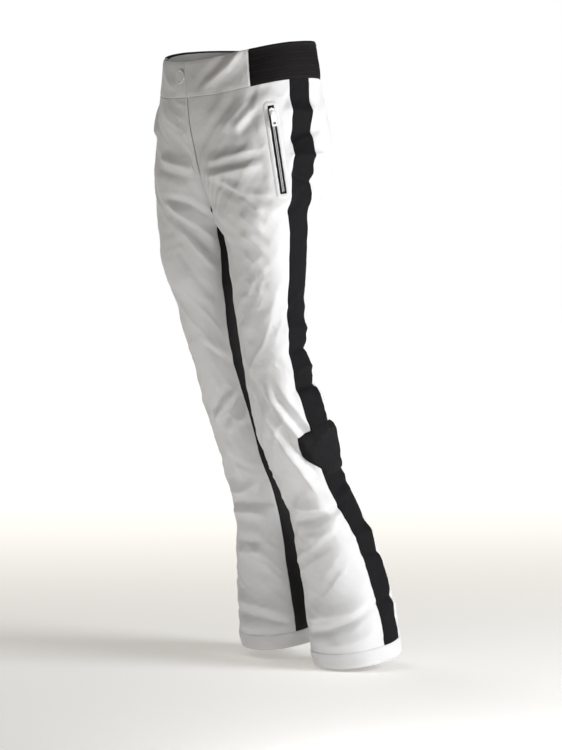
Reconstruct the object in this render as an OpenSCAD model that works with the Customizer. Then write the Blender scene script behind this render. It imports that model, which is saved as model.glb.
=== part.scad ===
// Ski pants: waistband, fly, zipped pockets, panelled legs, knee shields, hem bands and inner gaiters.
// Row frame: origin at the centre of the waist opening, +Z up, front towards -Y, wearer's left towards +X.
// The legs stand as they do in ski boots: leaning forward, knees a little bent.

/* [Waistband] */
// Full width of the waist opening, side to side
waist_w = 292; // [280:1:300]
// Height of the waistband
band_h = 62; // [56:1:66]
// How much higher the waistband stands at the back than at the front
back_rise = 30; // [20:1:36]
// Extra height of the waistband at the sides
side_rise = 14; // [6:1:18]
// Angle round the waist, from centre front, at which the ribbed elastic starts
elastic_from = 51; // [46:1:56]

/* [Fabric] */
// Thickness of shell fabric with its lining
wall = 2.4; // [2:0.1:2.6]
// Thickness of the waistband
band_t = 3.4; // [3:0.1:3.6]
// Gap left at each seam line
seam_gap = 0.4; // [0.3:0.05:0.6]

/* [Stripes] */
// Width of the outer stripe on the leg
stripe_w = 45; // [38:1:50]
// Width of the outer stripe at the hip
stripe_hip_w = 37; // [32:1:42]
// Width of the inner stripe
inner_w = 46; // [38:1:50]

/* [Knees] */
// Height of the knee hinge below the waist
knee_drop = 630; // [620:1:640]
// Half of the length that bends
knee_zone = 70; // [66:1:74]
// Half-width of the knee shield
shield_w = 54; // [50:1:60]
// Height of the knee shield
shield_h = 88; // [80:1:92]

/* [Hems] */
// Height of the hem band
hem_h = 27; // [24:1:30]
// Length of the inner gaiter above the hem band
gaiter_h = 95; // [80:5:110]

/* [Closure] */
// Diameter of the snap cap
snap_d = 24; // [20:1:26]
// Distance of the snap from the centre front edge
snap_in = 17; // [15:1:20]
// Width of the fly flap at the top
flap_w = 42; // [38:1:46]
// Depth of the fly below the waist top
fly_drop = 192; // [184:1:198]

/* [Pockets] */
// Length of the pocket zip
zip_l = 138; // [132:2:144]
// Width of the pocket zip tape
tape_w = 15; // [13:1:17]
// Length of the pocket puller
puller_l = 24; // [20:1:28]

/* [Hidden] */
sq = 2.2;                 // squareness of the body's cross-section, 2 is an ellipse
crotch = -258;            // height of the crotch point
hem_left = -1012;         // height of the left hem, at the middle of the leg
hem_right = -1002;        // height of the right hem
knee = -knee_drop;
hip = -150;                // below this height the rows are level
shield_top = -603;         // top edge of the knee shield, at its middle
fold_gap = 5;              // room left along the flap's fold line
flap_edge = 0.8;           // distance of the flap's free edge from the middle plane
snap_z = -26;
stud_r = 3.2;
under_d = 7.6;             // depth of the waistband underlap
fly_under_d = 17;          // depth of the fly underlap, behind the zip
chain_w = 5.4;             // width and thickness of a closed zip chain
chain_t = 1.6;
tape_t = 0.8;              // zip tape, and the height at which the chain stands on it
chain_x = tape_t + 0.05;
slider_w = chain_w + 3.4;  // zip slider: width, length, thickness, and height over the tape
slider_l = 12;
slider_t = 3.9;
slider_x = 1.15;
lug_h = 1.6;               // lugs and pin that hold the puller
pin_r = 0.9;
pin_x = slider_x + slider_t + 2.5;
pocket_z = -152;           // middle of the pocket zip: height and angle
pocket_a = -22;
pocket_tilt = [7.8, -3.6, -20.3];  // lays the zip along the side of the body
fly_x = 10;                // fly zip: distance from the middle plane, top and foot
fly_top = -64;
fly_foot = -188;
fly_l = fly_top - fly_foot;
fly_slider_t = 2.9;
elastic_a = elastic_from - 90;
white = [0.92, 0.92, 0.93];
black = [0.14, 0.13, 0.14];
charcoal = [0.22, 0.22, 0.23];
steel = [0.75, 0.75, 0.76];

// Cross-section stations of one half, seen from outside: height, centre, outer half-width,
// inner half-width, front half-depth, back half-depth
SHAPE = [
  [  40,   0, waist_w / 2 - 4, 260, 110, 108],
  [   0,   0, waist_w / 2,     260, 111, 112],
  [ -62,  20, 132, 220, 111, 119],
  [-105,  44, 115, 170, 108, 124],
  [-145,  61, 101, 140, 101, 126],
  [-190,  73,  90, 112,  95, 120],
  [-235,  80,  81,  91,  82,  96],
  [-258,  82,  78,  82,  76,  81],
  [-285,  83,  72,  75,  70,  72],
  [-320,  84,  66,  67,  65,  66],
  [-400,  84,  59,  59,  57,  58],
  [-480,  85,  55,  55,  54,  54],
  [-520,  85,  55,  55,  54,  55],
  [-575,  86,  60,  60,  58,  58],
  [-625,  87,  62,  62,  58,  58],
  [-690,  89,  59,  59,  53,  54],
  [-755,  92,  58,  58,  52,  53],
  [-820,  95,  65,  65,  62,  63],
  [-890,  98,  72,  72,  69,  70],
  [-960, 101,  75,  75,  75,  75],
  [-1015, 104, 72,  72,  72,  73]
];
// Middle of the section, front to back, for each leg: height, position
MIDDLE_TOP = [[40, -3], [0, -4], [-62, -5], [-105, -6], [-145, -8], [-190, -12], [-235, -18], [-258, -20]];
MIDDLE_LEFT = concat(MIDDLE_TOP, [[-320, -12], [-400, -7], [-473, 2], [-533, 16], [-580, 32],
  [-625, 47], [-700, 78], [-780, 114], [-860, 140], [-940, 159], [-1015, 172]]);
MIDDLE_RIGHT = concat(MIDDLE_TOP, [[-320, -25], [-360, -19], [-400, -5], [-450, 9], [-500, 28],
  [-540, 47], [-582, 68], [-625, 86], [-670, 99], [-720, 115], [-780, 133], [-860, 152], [-940, 166],
  [-1015, 178]]);
// How far each leg is turned, in degrees: height, turn
TURN_LEFT = [[40, 4], [-190, 5], [-235, 9], [-300, 17], [-480, 14], [-625, 9], [-700, 12], [-790, 21],
  [-870, 19], [-1015, 18]];
TURN_RIGHT = [[40, 4], [-190, 3], [-258, -5], [-330, -16], [-400, -12], [-480, -5], [-582, 6],
  [-646, 8], [-740, -5], [-860, 3], [-1015, 2]];
// Slope of the section planes: height, rise per step back
SLOPE = [[40, 0], [-300, 0], [-450, 0.1], [-600, 0.3], [-700, 0.36], [-860, 0.26], [-1015, 0.18]];

function clamp(v, lo, hi) = min(hi, max(lo, v));
function mix(a, b, t) = a + (b - a) * t;
function ease(t) = let(c = clamp(t, 0, 1)) c * c * (3 - 2 * c);
// Index of the station pair that holds height z
function span(st, z, i = 0) = (i >= len(st) - 2 || z >= st[i + 1][0]) ? i : span(st, z, i + 1);
// Value k of a station list at height z, on a smooth curve through the stations
function at(st, z, k) = let(
    i = span(st, z), a = st[max(i - 1, 0)], b = st[i], c = st[i + 1], d = st[min(i + 2, len(st) - 1)],
    h = c[0] - b[0], t = clamp((z - b[0]) / h, 0, 1),
    mb = i == 0 ? (c[k] - b[k]) / h : (c[k] - a[k]) / (c[0] - a[0]),
    mc = i == len(st) - 2 ? (c[k] - b[k]) / h : (d[k] - b[k]) / (d[0] - b[0]),
    t2 = t * t, t3 = t2 * t)
  (2 * t3 - 3 * t2 + 1) * b[k] + (t3 - 2 * t2 + t) * h * mb
    + (3 * t2 - 2 * t3) * c[k] + (t3 - t2) * h * mc;
function middle(side, z) = at(side > 0 ? MIDDLE_LEFT : MIDDLE_RIGHT, z, 1);
function turn(side, z) = at(side > 0 ? TURN_LEFT : TURN_RIGHT, z, 1);
function hem(side) = side > 0 ? hem_left : hem_right;

// Top edge of the waistband at angle a, and the height of row s there. Rows run parallel to the
// waistband above the hip and level below it
function band_top(a) = let(b = clamp(a, -90, 90))
  back_rise / 2 * (1 + sin(b)) + side_rise * pow(cos(b), 2);
function level(s, a) =
  s >= -band_h ? band_top(a) + s :
  s > hip ? mix(hip, band_top(a) - band_h, (s - hip) / (-band_h - hip)) : s;

// Point of the section at height z and angle a (0 outside, -90 front, 90 back, 180 inside), d deep
function spot(side, z, a, d) = let(
    c = cos(a), s = sin(a), rx = (c >= 0 ? at(SHAPE, z, 2) : at(SHAPE, z, 3)) - d,
    ry = (s < 0 ? at(SHAPE, z, 4) : at(SHAPE, z, 5)) - d,
    x = at(SHAPE, z, 1) + rx * sign(c) * pow(abs(c), 2 / sq), y = ry * sign(s) * pow(abs(s), 2 / sq))
  [max(x, seam_gap / 2), middle(side, z) + y, z + at(SLOPE, z, 1) * y];
// Angle at which the section meets the distance x0 from the middle plane
function meet(z, x0, d) = let(v = at(SHAPE, z, 1) - x0)
  v >= 0 ? acos(-pow(min(1, v / (at(SHAPE, z, 3) - d)), sq / 2))
         : acos(pow(-v / (at(SHAPE, z, 2) - d), sq / 2));
// Front of the body at height z and distance x from the middle plane, d deep
function front_y(z, x, d) = let(v = abs(x) - at(SHAPE, z, 1), r = at(SHAPE, z, v >= 0 ? 2 : 3) - d)
  middle(1, z) - (at(SHAPE, z, 4) - d) * pow(1 - pow(abs(v) / r, sq), 1 / sq);

// Half the angle that a width w takes at height z
function half_angle(z, w) = w / (at(SHAPE, z, 4) + at(SHAPE, z, 5)) * 180 / PI;
function gap_a(z) = half_angle(z, seam_gap);
// Half the angle of the outer stripe, which widens below the hip
function stripe_half(z) = half_angle(z, mix(stripe_hip_w, stripe_w, ease((hip - z) / 110)));
// The inner stripe starts as a point at the crotch
function inner_half(z) = half_angle(z, inner_w) * ease((crotch - z) / 16);
function inner_turn(side, z) = turn(side, z) * ease((crotch - z) / 60);

// Distance of the flap's fold line from the middle plane; the right front pieces stop short of it
function fold_x(z) = flap_w * clamp(1 + z / fly_drop, 0, 1);
function front_start(side, z) = side < 0 && z > -fly_drop ? fold_x(z) + fold_gap : seam_gap / 2;

// Seam lines: the angle of each panel's edge on row s at depth d
function front_in(side, s, d) = let(z = level(s, -90))
  z > crotch ? -meet(z, front_start(side, z), d) : -180 + inner_half(z) + inner_turn(side, z) + gap_a(z);
function front_out(side, s) = let(z = level(s, 0)) turn(side, z) - stripe_half(z) - gap_a(z);
function stripe_from(side, s) = let(z = level(s, 0)) turn(side, z) - stripe_half(z) + gap_a(z);
function stripe_to(side, s) = let(z = level(s, 0)) turn(side, z) + stripe_half(z) - gap_a(z);
function back_out(side, s) = let(z = level(s, 0)) turn(side, z) + stripe_half(z) + gap_a(z);
function back_in(side, s, d) = let(z = level(s, 90))
  z > crotch ? meet(z, seam_gap / 2, d) : 180 - inner_half(z) + inner_turn(side, z) - gap_a(z);
function inner_from(side, z) = 180 - inner_half(z) + inner_turn(side, z) + gap_a(z);
function inner_to(side, z) = 180 + inner_half(z) + inner_turn(side, z) - gap_a(z);

function rows_of(top, bottom, n) = [for (i = [0 : n]) mix(top, bottom, i / n)];
HIP_ROWS = [-band_h - seam_gap, -84, -106, -128, -150, -170, -190, -212, -235, -248, crotch, crotch - 7,
            crotch - 16, -285, -302, -320];
THIGH_ROWS = rows_of(-345, knee + knee_zone, 8);
KNEE_ROWS = rows_of(knee + knee_zone - seam_gap, knee - knee_zone, 5);
function shin_rows(side) = rows_of(knee - knee_zone - seam_gap, hem(side) + hem_h + seam_gap, 10);
UPPER_ROWS = concat(HIP_ROWS, THIGH_ROWS);

// A closed wall between the points pt(row, fraction, 0) outside and pt(row, fraction, 1) inside
module wall_of(rows, cols, pt) {
  last = len(rows) - 1;
  function id(k, i, j) = (k * (last + 1) + i) * (cols + 1) + j;
  function quad(a, b, c, d) = [[a, c, b], [a, d, c]];
  polyhedron(
    points = [for (k = [0, 1]) for (row = rows) for (j = [0 : cols]) pt(row, j / cols, k)],
    faces = concat(
      [for (i = [0 : last - 1]) for (j = [0 : cols - 1])
        each quad(id(0, i, j), id(0, i + 1, j), id(0, i + 1, j + 1), id(0, i, j + 1))],
      [for (i = [0 : last - 1]) for (j = [0 : cols - 1])
        each quad(id(1, i, j + 1), id(1, i + 1, j + 1), id(1, i + 1, j), id(1, i, j))],
      [for (i = [0 : last - 1]) each concat(
        quad(id(1, i, 0), id(1, i + 1, 0), id(0, i + 1, 0), id(0, i, 0)),
        quad(id(0, i, cols), id(0, i + 1, cols), id(1, i + 1, cols), id(1, i, cols)))],
      [for (j = [0 : cols - 1]) each concat(
        quad(id(1, 0, j), id(0, 0, j), id(0, 0, j + 1), id(1, 0, j + 1)),
        quad(id(0, last, j), id(1, last, j), id(1, last, j + 1), id(0, last, j + 1)))]),
    convexity = 8);
}
module sided(side) {
  if (side > 0) children();
  else mirror([1, 0, 0]) children();
}
// A panel on one side, d0 to d1 deep, between the edges from(row, depth) and to(row, depth)
module panel(side, rows, cols, d0, d1, from, to) {
  sided(side) wall_of(rows, cols, function(s, f, k) let(
      d = k == 0 ? d0 : d1, a = mix(from(s, d), to(s, d), f))
    spot(side, level(s, a), a, d));
}
// A flat-lying patch on the front of the body between the distances x0 and x1 (minus is the right)
module front_patch(rows, x0, x1, d0, d1, cols = 6) {
  wall_of(rows, cols, function(z, f, k) let(x = mix(x0, x1, f))
    [x, front_y(z, x, k == 0 ? d0 : d1), z]);
}

// Leg panels, in three lengths: upper (body), knee (bends) and lower (shin)
module front_part(side, rows, cols = 9) {
  color(white) panel(side, rows, cols, 0, wall,
    function(s, d) front_in(side, s, d), function(s, d) front_out(side, s));
}
module back_part(side, rows, cols = 9) {
  color(white) panel(side, rows, cols, 0, wall,
    function(s, d) back_out(side, s), function(s, d) back_in(side, s, d));
}
module stripe_part(side, rows, cols = 3) {
  color(black) panel(side, rows, cols, 0, wall,
    function(s, d) stripe_from(side, s), function(s, d) stripe_to(side, s));
}
module inner_part(side, rows, cols = 3) {
  color(black) panel(side, rows, cols, 0, wall,
    function(s, d) inner_from(side, s), function(s, d) inner_to(side, s));
}
INNER_ROWS = concat([crotch - 7, crotch - 16, -285, -302, -320], THIGH_ROWS);

module front_upper_left() front_part(1, UPPER_ROWS);
module front_upper_right() front_part(-1, UPPER_ROWS);
module back_upper_left() back_part(1, UPPER_ROWS);
module back_upper_right() back_part(-1, UPPER_ROWS);
module stripe_upper_left() stripe_part(1, UPPER_ROWS);
module stripe_upper_right() stripe_part(-1, UPPER_ROWS);
module inner_stripe_upper_left() inner_part(1, INNER_ROWS);
module inner_stripe_upper_right() inner_part(-1, INNER_ROWS);
module front_knee_left() front_part(1, KNEE_ROWS);
module front_knee_right() front_part(-1, KNEE_ROWS);
module back_knee_left() back_part(1, KNEE_ROWS);
module back_knee_right() back_part(-1, KNEE_ROWS);
module stripe_knee_left() stripe_part(1, KNEE_ROWS);
module stripe_knee_right() stripe_part(-1, KNEE_ROWS);
module inner_stripe_knee_left() inner_part(1, KNEE_ROWS);
module inner_stripe_knee_right() inner_part(-1, KNEE_ROWS);
module front_lower_left() front_part(1, shin_rows(1));
module front_lower_right() front_part(-1, shin_rows(-1));
module back_lower_left() back_part(1, shin_rows(1));
module back_lower_right() back_part(-1, shin_rows(-1));
module stripe_lower_left() stripe_part(1, shin_rows(1));
module stripe_lower_right() stripe_part(-1, shin_rows(-1));
module inner_stripe_lower_left() inner_part(1, shin_rows(1));
module inner_stripe_lower_right() inner_part(-1, shin_rows(-1));

// Knee shield: arched top, round foot, sewn on over the stripe
module knee_shield(side) {
  function width(v) = shield_w * (0.93 + 0.07 * sin(v * 360))
    * pow(1 - pow(max(v - 0.2, 0) / 0.83, 2.4), 0.6);
  color(charcoal) sided(side) wall_of(rows_of(0, 1, 9), 8, function(v, f, k) let(
      u = 2 * f - 1, z = mix(shield_top - 13 * u * u, shield_top - shield_h, v),
      a = turn(side, z) + u * half_angle(z, 2 * width(v)))
    spot(side, z, a, k == 0 ? -2.7 : -0.7));
}
module knee_shield_left() knee_shield(1);
module knee_shield_right() knee_shield(-1);

// Hem bands, gaiters and their elastics are closed rings with one seam at the inside of the leg
module ring(side, top, height, d0, d1, shade, rows = 2) {
  color(shade) panel(side, rows_of(top, top - height, rows), 26, d0, d1,
    function(s, d) 180 + gap_a(s), function(s, d) 540 - gap_a(s));
}
module hem_band_left() ring(1, hem_left + hem_h, hem_h, 0, wall + 0.6, white);
module hem_band_right() ring(-1, hem_right + hem_h, hem_h, 0, wall + 0.6, white);
module gaiter_left() ring(1, hem_left + hem_h + gaiter_h, gaiter_h, 6, 7, charcoal, 9);
module gaiter_right() ring(-1, hem_right + hem_h + gaiter_h, gaiter_h, 6, 7, charcoal, 9);
module gaiter_elastic_left() ring(1, hem_left + hem_h + 22, 20, 7.8, 9.4, black);
module gaiter_elastic_right() ring(-1, hem_right + hem_h + 22, 20, 7.8, 9.4, black);

// Waistband
BAND_ROWS = rows_of(0, -band_h, 4);
module waistband_front(side) {
  color(white) panel(side, BAND_ROWS, 7, 0, band_t,
    function(s, d) let(z = level(s, -90)) -meet(z, front_start(side, z), d),
    function(s, d) elastic_a - 0.2);
}
module waistband_front_left() waistband_front(1);
module waistband_front_right() waistband_front(-1);
module waistband_elastic(side) {
  color(black) panel(side, BAND_ROWS, 14, 0, band_t,
    function(s, d) elastic_a, function(s, d) meet(level(s, 90), seam_gap / 2, d));
}
module waistband_elastic_left() waistband_elastic(1);
module waistband_elastic_right() waistband_elastic(-1);
module waistband_facing() {
  for (side = [1, -1])
    color(white) panel(side, rows_of(-3, 3 - band_h, 2), 20, band_t + 0.8, band_t + 1.8,
      function(s, d) let(z = level(s, -90)) -meet(z, side > 0 ? 22 : fold_x(z) + 9, d),
      function(s, d) meet(level(s, 90), seam_gap / 2, d));
}

// Fly flap: waistband tab and placket, folding open along one slanted line
module waistband_tab() {
  color(white) panel(-1, BAND_ROWS, 4, 0, band_t,
    function(s, d) -meet(level(s, -90), flap_edge, d),
    function(s, d) let(z = level(s, -90)) -meet(z, fold_x(z), d));
}
module fly_placket() {
  color(white) panel(-1, rows_of(-band_h - seam_gap, 8 - fly_drop, 6), 4, 0, wall,
    function(s, d) -meet(s, flap_edge, d), function(s, d) -meet(s, max(fold_x(s), flap_edge + 1), d));
}
module waistband_underlap() {
  color(white) front_patch(rows_of(-3, 2 - band_h, 3), -34, 18, under_d, under_d + 3);
}
module fly_underlap() {
  color(white) front_patch(rows_of(-band_h - 2, -fly_drop - 2, 6), -34, 14, fly_under_d, fly_under_d + 1.6);
}

// Snap: a cap riveted through the tab, a socket behind it and a stud on the underlap
module at_snap() {
  translate([-snap_in, front_y(snap_z, snap_in, 0), snap_z]) rotate([-90, 0, 0]) children();
}
module snap_cap() {
  color(white) at_snap() {
    translate([0, 0, -2.8]) cylinder(d = snap_d, h = 1.4);
    translate([0, 0, -1.4]) cylinder(d = snap_d - 2, h = 1.2);
    translate([0, 0, -0.2]) cylinder(r = 2.4, h = band_t + 0.5);
  }
}
module snap_socket() {
  color(steel) at_snap() translate([0, 0, band_t + 0.7]) difference() {
    cylinder(r = 7, h = 2.2);
    translate([0, 0, 0.6]) cylinder(r = stud_r + 0.9, h = 3);
  }
}
module snap_stud() {
  color(steel) at_snap() {
    translate([0, 0, under_d - 0.9]) cylinder(r = 6, h = 0.5);
    translate([0, 0, under_d - 2.5]) cylinder(r = stud_r, h = 1.7);
  }
}

// Zips, along Z with their face towards +X: tape, chain with end stops, slider and puller
module zip_tape(length, width) {
  translate([0, -width / 2, -length / 2 - 6]) cube([tape_t, width, length + 12]);
}
module zip_chain(length) {
  translate([chain_x, -chain_w / 2, -length / 2]) cube([chain_t, chain_w, length]);
  translate([chain_x, -chain_w / 2 - 0.8, -length / 2 - 3.5]) cube([chain_t + 0.4, chain_w + 1.6, 3.4]);
  for (y = [-1, 1])
    translate([chain_x, y * 2.6 - 1.1, length / 2 + 0.1]) cube([chain_t + 0.3, 2.2, 3.4]);
}
// A rounded plate w wide and l long, lying across X
module plate(w, l, t, r) {
  rotate([0, 90, 0]) linear_extrude(t) rounded_rectangle(l, w, r);
}
module rounded_rectangle(l, w, r) {
  square([l - 2 * r, w], center = true);
  square([l, w - 2 * r], center = true);
  for (x = [-1, 1]) for (y = [-1, 1])
    translate([x * (l / 2 - r), y * (w / 2 - r)]) circle(r, $fn = 24);
}
// The channel through a slider that the chain runs in
module chain_room() {
  translate([0, -chain_w / 2 - 0.4, -slider_l]) cube([chain_x + chain_t + 0.35, chain_w + 0.8, 2 * slider_l]);
}
module zip_slider() {
  difference() {
    translate([slider_x, 0, 0]) plate(slider_w, slider_l, slider_t, 2.4);
    chain_room();
  }
  for (y = [-1, 1])
    translate([slider_x - 0.05 + slider_t, y * 2.5 - 0.55, -1.6]) cube([lug_h + 1.4, 1.1, 3.2]);
  translate([pin_x, -3, 0]) rotate([-90, 0, 0]) cylinder(r = pin_r, h = 6, $fn = 24);
}
module zip_puller(length) {
  difference() {
    union() {
      translate([pin_x, -1.5, 0]) rotate([-90, 0, 0]) cylinder(r = 1.9, h = 3, $fn = 24);
      translate([pin_x - 0.65, -1.5, -6]) cube([1.3, 3, 6]);
      translate([pin_x - 0.65, 0, -4 - (length - 4) / 2]) plate(9, length - 4, 1.3, 1.6);
    }
    translate([pin_x, -3, 0]) rotate([-90, 0, 0]) cylinder(r = pin_r + 0.08, h = 6, $fn = 24);
    translate([pin_x - 2, 0, -length + 5]) plate(5, 4, 4, 1.2);
  }
}

module at_pocket(side) {
  sided(side) translate(spot(1, pocket_z, pocket_a, 0)) rotate(pocket_tilt)
    translate([0.8, 0, 0]) children();
}
module pocket_tape(side) { color(black) at_pocket(side) zip_tape(zip_l, tape_w); }
module pocket_teeth(side) { color(steel) at_pocket(side) zip_chain(zip_l); }
module pocket_slider(side) {
  color(steel) at_pocket(side) translate([0, 0, zip_l / 2 - slider_l / 2 - 1]) zip_slider();
}
module pocket_puller(side) {
  color(steel) at_pocket(side) translate([0, 0, zip_l / 2 - slider_l / 2 - 1]) zip_puller(puller_l);
}
module pocket_tape_left() pocket_tape(1);
module pocket_tape_right() pocket_tape(-1);
module pocket_teeth_left() pocket_teeth(1);
module pocket_teeth_right() pocket_teeth(-1);
module pocket_slider_left() pocket_slider(1);
module pocket_slider_right() pocket_slider(-1);
module pocket_puller_left() pocket_puller(1);
module pocket_puller_right() pocket_puller(-1);
module pocket_bag(side) {
  color(white) panel(side, rows_of(-92, -238, 6), 6, 6, 8.5,
    function(s, d) mix(-70, -84, (s + 92) / -146), function(s, d) -14);
}
module pocket_bag_left() pocket_bag(1);
module pocket_bag_right() pocket_bag(-1);

// Fly zip, under the flap
module at_fly() {
  top = front_y(fly_top, fly_x, 0);
  foot = front_y(fly_foot, fly_x, 0);
  translate([-fly_x, (top + foot) / 2, (fly_top + fly_foot) / 2])
    rotate([atan((foot - top) / (fly_top - fly_foot)), 0, 0]) rotate([0, 0, -90]) translate([-10, 0, 0])
      children();
}
module fly_tape() { color(white) at_fly() zip_tape(fly_l - 8, 22); }
module fly_teeth() { color(steel) at_fly() zip_chain(fly_l - 8); }
module fly_slider() {
  color(steel) at_fly() translate([0, 0, fly_l / 2 - 12]) {
    difference() {
      translate([slider_x, 0, 0]) plate(slider_w, slider_l, fly_slider_t, 2.4);
      chain_room();
    }
    translate([4, 0, -7]) plate(6, 20, 1.2, 1.6);
  }
}

waistband_front_left();
waistband_front_right();
waistband_elastic_left();
waistband_elastic_right();
waistband_facing();
waistband_tab();
waistband_underlap();
fly_placket();
fly_underlap();
fly_tape();
fly_teeth();
fly_slider();
snap_cap();
snap_socket();
snap_stud();
front_upper_left();
front_upper_right();
back_upper_left();
back_upper_right();
stripe_upper_left();
stripe_upper_right();
inner_stripe_upper_left();
inner_stripe_upper_right();
front_knee_left();
front_knee_right();
back_knee_left();
back_knee_right();
stripe_knee_left();
stripe_knee_right();
inner_stripe_knee_left();
inner_stripe_knee_right();
front_lower_left();
front_lower_right();
back_lower_left();
back_lower_right();
stripe_lower_left();
stripe_lower_right();
inner_stripe_lower_left();
inner_stripe_lower_right();
knee_shield_left();
knee_shield_right();
hem_band_left();
hem_band_right();
gaiter_left();
gaiter_right();
gaiter_elastic_left();
gaiter_elastic_right();
pocket_tape_left();
pocket_tape_right();
pocket_teeth_left();
pocket_teeth_right();
pocket_slider_left();
pocket_slider_right();
pocket_puller_left();
pocket_puller_right();
pocket_bag_left();
pocket_bag_right();
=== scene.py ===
"""Ski pants, dressed over their CAD frame: panelled legs, waistband, fly, pockets, hems and stitching."""
import math

import bpy
import numpy as np
from mathutils import Matrix, Vector


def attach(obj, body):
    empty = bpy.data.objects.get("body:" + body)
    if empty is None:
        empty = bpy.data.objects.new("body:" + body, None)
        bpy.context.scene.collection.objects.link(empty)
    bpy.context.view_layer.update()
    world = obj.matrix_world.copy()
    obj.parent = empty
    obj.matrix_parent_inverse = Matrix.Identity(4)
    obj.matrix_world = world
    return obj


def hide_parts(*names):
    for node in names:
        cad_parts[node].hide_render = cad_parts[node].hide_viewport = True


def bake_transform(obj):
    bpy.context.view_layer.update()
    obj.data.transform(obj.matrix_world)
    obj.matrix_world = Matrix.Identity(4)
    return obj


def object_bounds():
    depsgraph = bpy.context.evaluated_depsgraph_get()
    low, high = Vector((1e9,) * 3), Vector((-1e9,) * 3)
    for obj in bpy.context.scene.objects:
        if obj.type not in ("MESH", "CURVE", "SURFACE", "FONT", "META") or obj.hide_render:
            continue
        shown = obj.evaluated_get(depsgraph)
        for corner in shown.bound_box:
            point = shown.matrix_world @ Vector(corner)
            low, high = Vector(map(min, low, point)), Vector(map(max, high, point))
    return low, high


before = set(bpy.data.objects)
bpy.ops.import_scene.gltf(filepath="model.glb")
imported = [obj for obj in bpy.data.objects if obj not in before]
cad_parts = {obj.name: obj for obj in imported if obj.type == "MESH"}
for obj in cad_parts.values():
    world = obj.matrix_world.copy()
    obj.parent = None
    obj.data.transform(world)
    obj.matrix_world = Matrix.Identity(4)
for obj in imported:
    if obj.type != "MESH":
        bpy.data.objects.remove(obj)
CAD_BOX = [list(corner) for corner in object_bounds()]

bl_info = {
    "name": "Ski pants",
    "version": (1, 0, 0),
    "blender": (4, 5, 0),
    "location": "3D View > Sidebar > Ski pants",
    "description": "Builds the cloth, trims and stage of a pair of ski pants",
    "category": "Add Mesh",
}

# The body's shape, in millimetres, as the CAD source has it.
# Cross-section stations of one half: height, centre, outer and inner half-width, front and back half-depth
SHAPE = [
    [40, 0, 142, 260, 110, 108], [0, 0, 146, 260, 111, 112], [-62, 20, 132, 220, 111, 119],
    [-105, 44, 115, 170, 108, 124], [-145, 61, 101, 140, 101, 126], [-190, 73, 90, 112, 95, 120],
    [-235, 80, 81, 91, 82, 96], [-258, 82, 78, 82, 76, 81], [-285, 83, 72, 75, 70, 72],
    [-320, 84, 66, 67, 65, 66], [-400, 84, 59, 59, 57, 58], [-480, 85, 55, 55, 54, 54],
    [-520, 85, 55, 55, 54, 55], [-575, 86, 60, 60, 58, 58], [-625, 87, 62, 62, 58, 58],
    [-690, 89, 59, 59, 53, 54], [-755, 92, 58, 58, 52, 53], [-820, 95, 65, 65, 62, 63],
    [-890, 98, 72, 72, 69, 70], [-960, 101, 75, 75, 75, 75], [-1015, 104, 72, 72, 72, 73],
]
MIDDLE_TOP = [[40, -3], [0, -4], [-62, -5], [-105, -6], [-145, -8], [-190, -12], [-235, -18], [-258, -20]]
# Middle of the section, front to back, for the left (1) and the right (-1) leg
MIDDLE = {
    1: MIDDLE_TOP + [[-320, -12], [-400, -7], [-473, 2], [-533, 16], [-580, 32], [-625, 47], [-700, 78],
                     [-780, 114], [-860, 140], [-940, 159], [-1015, 172]],
    -1: MIDDLE_TOP + [[-320, -25], [-360, -19], [-400, -5], [-450, 9], [-500, 28], [-540, 47], [-582, 68],
                      [-625, 86], [-670, 99], [-720, 115], [-780, 133], [-860, 152], [-940, 166],
                      [-1015, 178]],
}
# How far each leg is turned, in degrees
TURN = {
    1: [[40, 4], [-190, 5], [-235, 9], [-300, 17], [-480, 14], [-625, 9], [-700, 12], [-790, 21],
        [-870, 19], [-1015, 18]],
    -1: [[40, 4], [-190, 3], [-258, -5], [-330, -16], [-400, -12], [-480, -5], [-582, 6], [-646, 8],
         [-740, -5], [-860, 3], [-1015, 2]],
}
SLOPE = [[40, 0], [-300, 0], [-450, 0.1], [-600, 0.3], [-700, 0.36], [-860, 0.26], [-1015, 0.18]]
SQUARENESS = 2.2
BAND_H, BACK_RISE, SIDE_RISE = 62, 30, 14
CROTCH, HIP, KNEE, KNEE_ZONE = -258, -150, -630, 70
GUSSET_TOP = -226  # the inner stripes run up over the crotch to here
HEM = {1: -1012, -1: -1002}
HEM_H, GAITER_H = 27, 95
STRIPE_W, STRIPE_HIP_W, INNER_W = 45, 37, 46
FLAP_W, FLY_DROP, FOLD_GAP = 42, 192, 5
ELASTIC_A = -39  # the waistband's elastic starts at this angle
SEAM = -0.2  # gap at a seam; below 0, so that the panels overlap and no light shows through
SHELL_THICK, BAND_THICK = 1.6, 3.2
SHIELD_W, SHIELD_H, SHIELD_TOP, SHIELD_ARCH = 54, 88, -603, 13
SHIELD_SLIP, SHIELD_BACK = 7, 6  # how far it sits below its top line and behind the stripe's middle
POCKET_Z, POCKET_A, POCKET_TILT = -152, -22, (7.8, -3.6, -20.3)
ZIP_L, TAPE_W = 138, 15
SNAP_IN, SNAP_Z = 17, -26
THIGH_GAP, THIGH_GAP_ROW, THIGH_GAP_REACH = 7.5, -282, 32  # how the thighs part just below the crotch
ELASTIC_ROWS = (17.7, 29.2, 40.7, 52.2)  # depths of the stitched rows that cross the elastic
FOLD_TIGHTEN = 0.8  # share of its given width that a fold takes
NAMES = {1: "left", -1: "right"}

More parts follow.
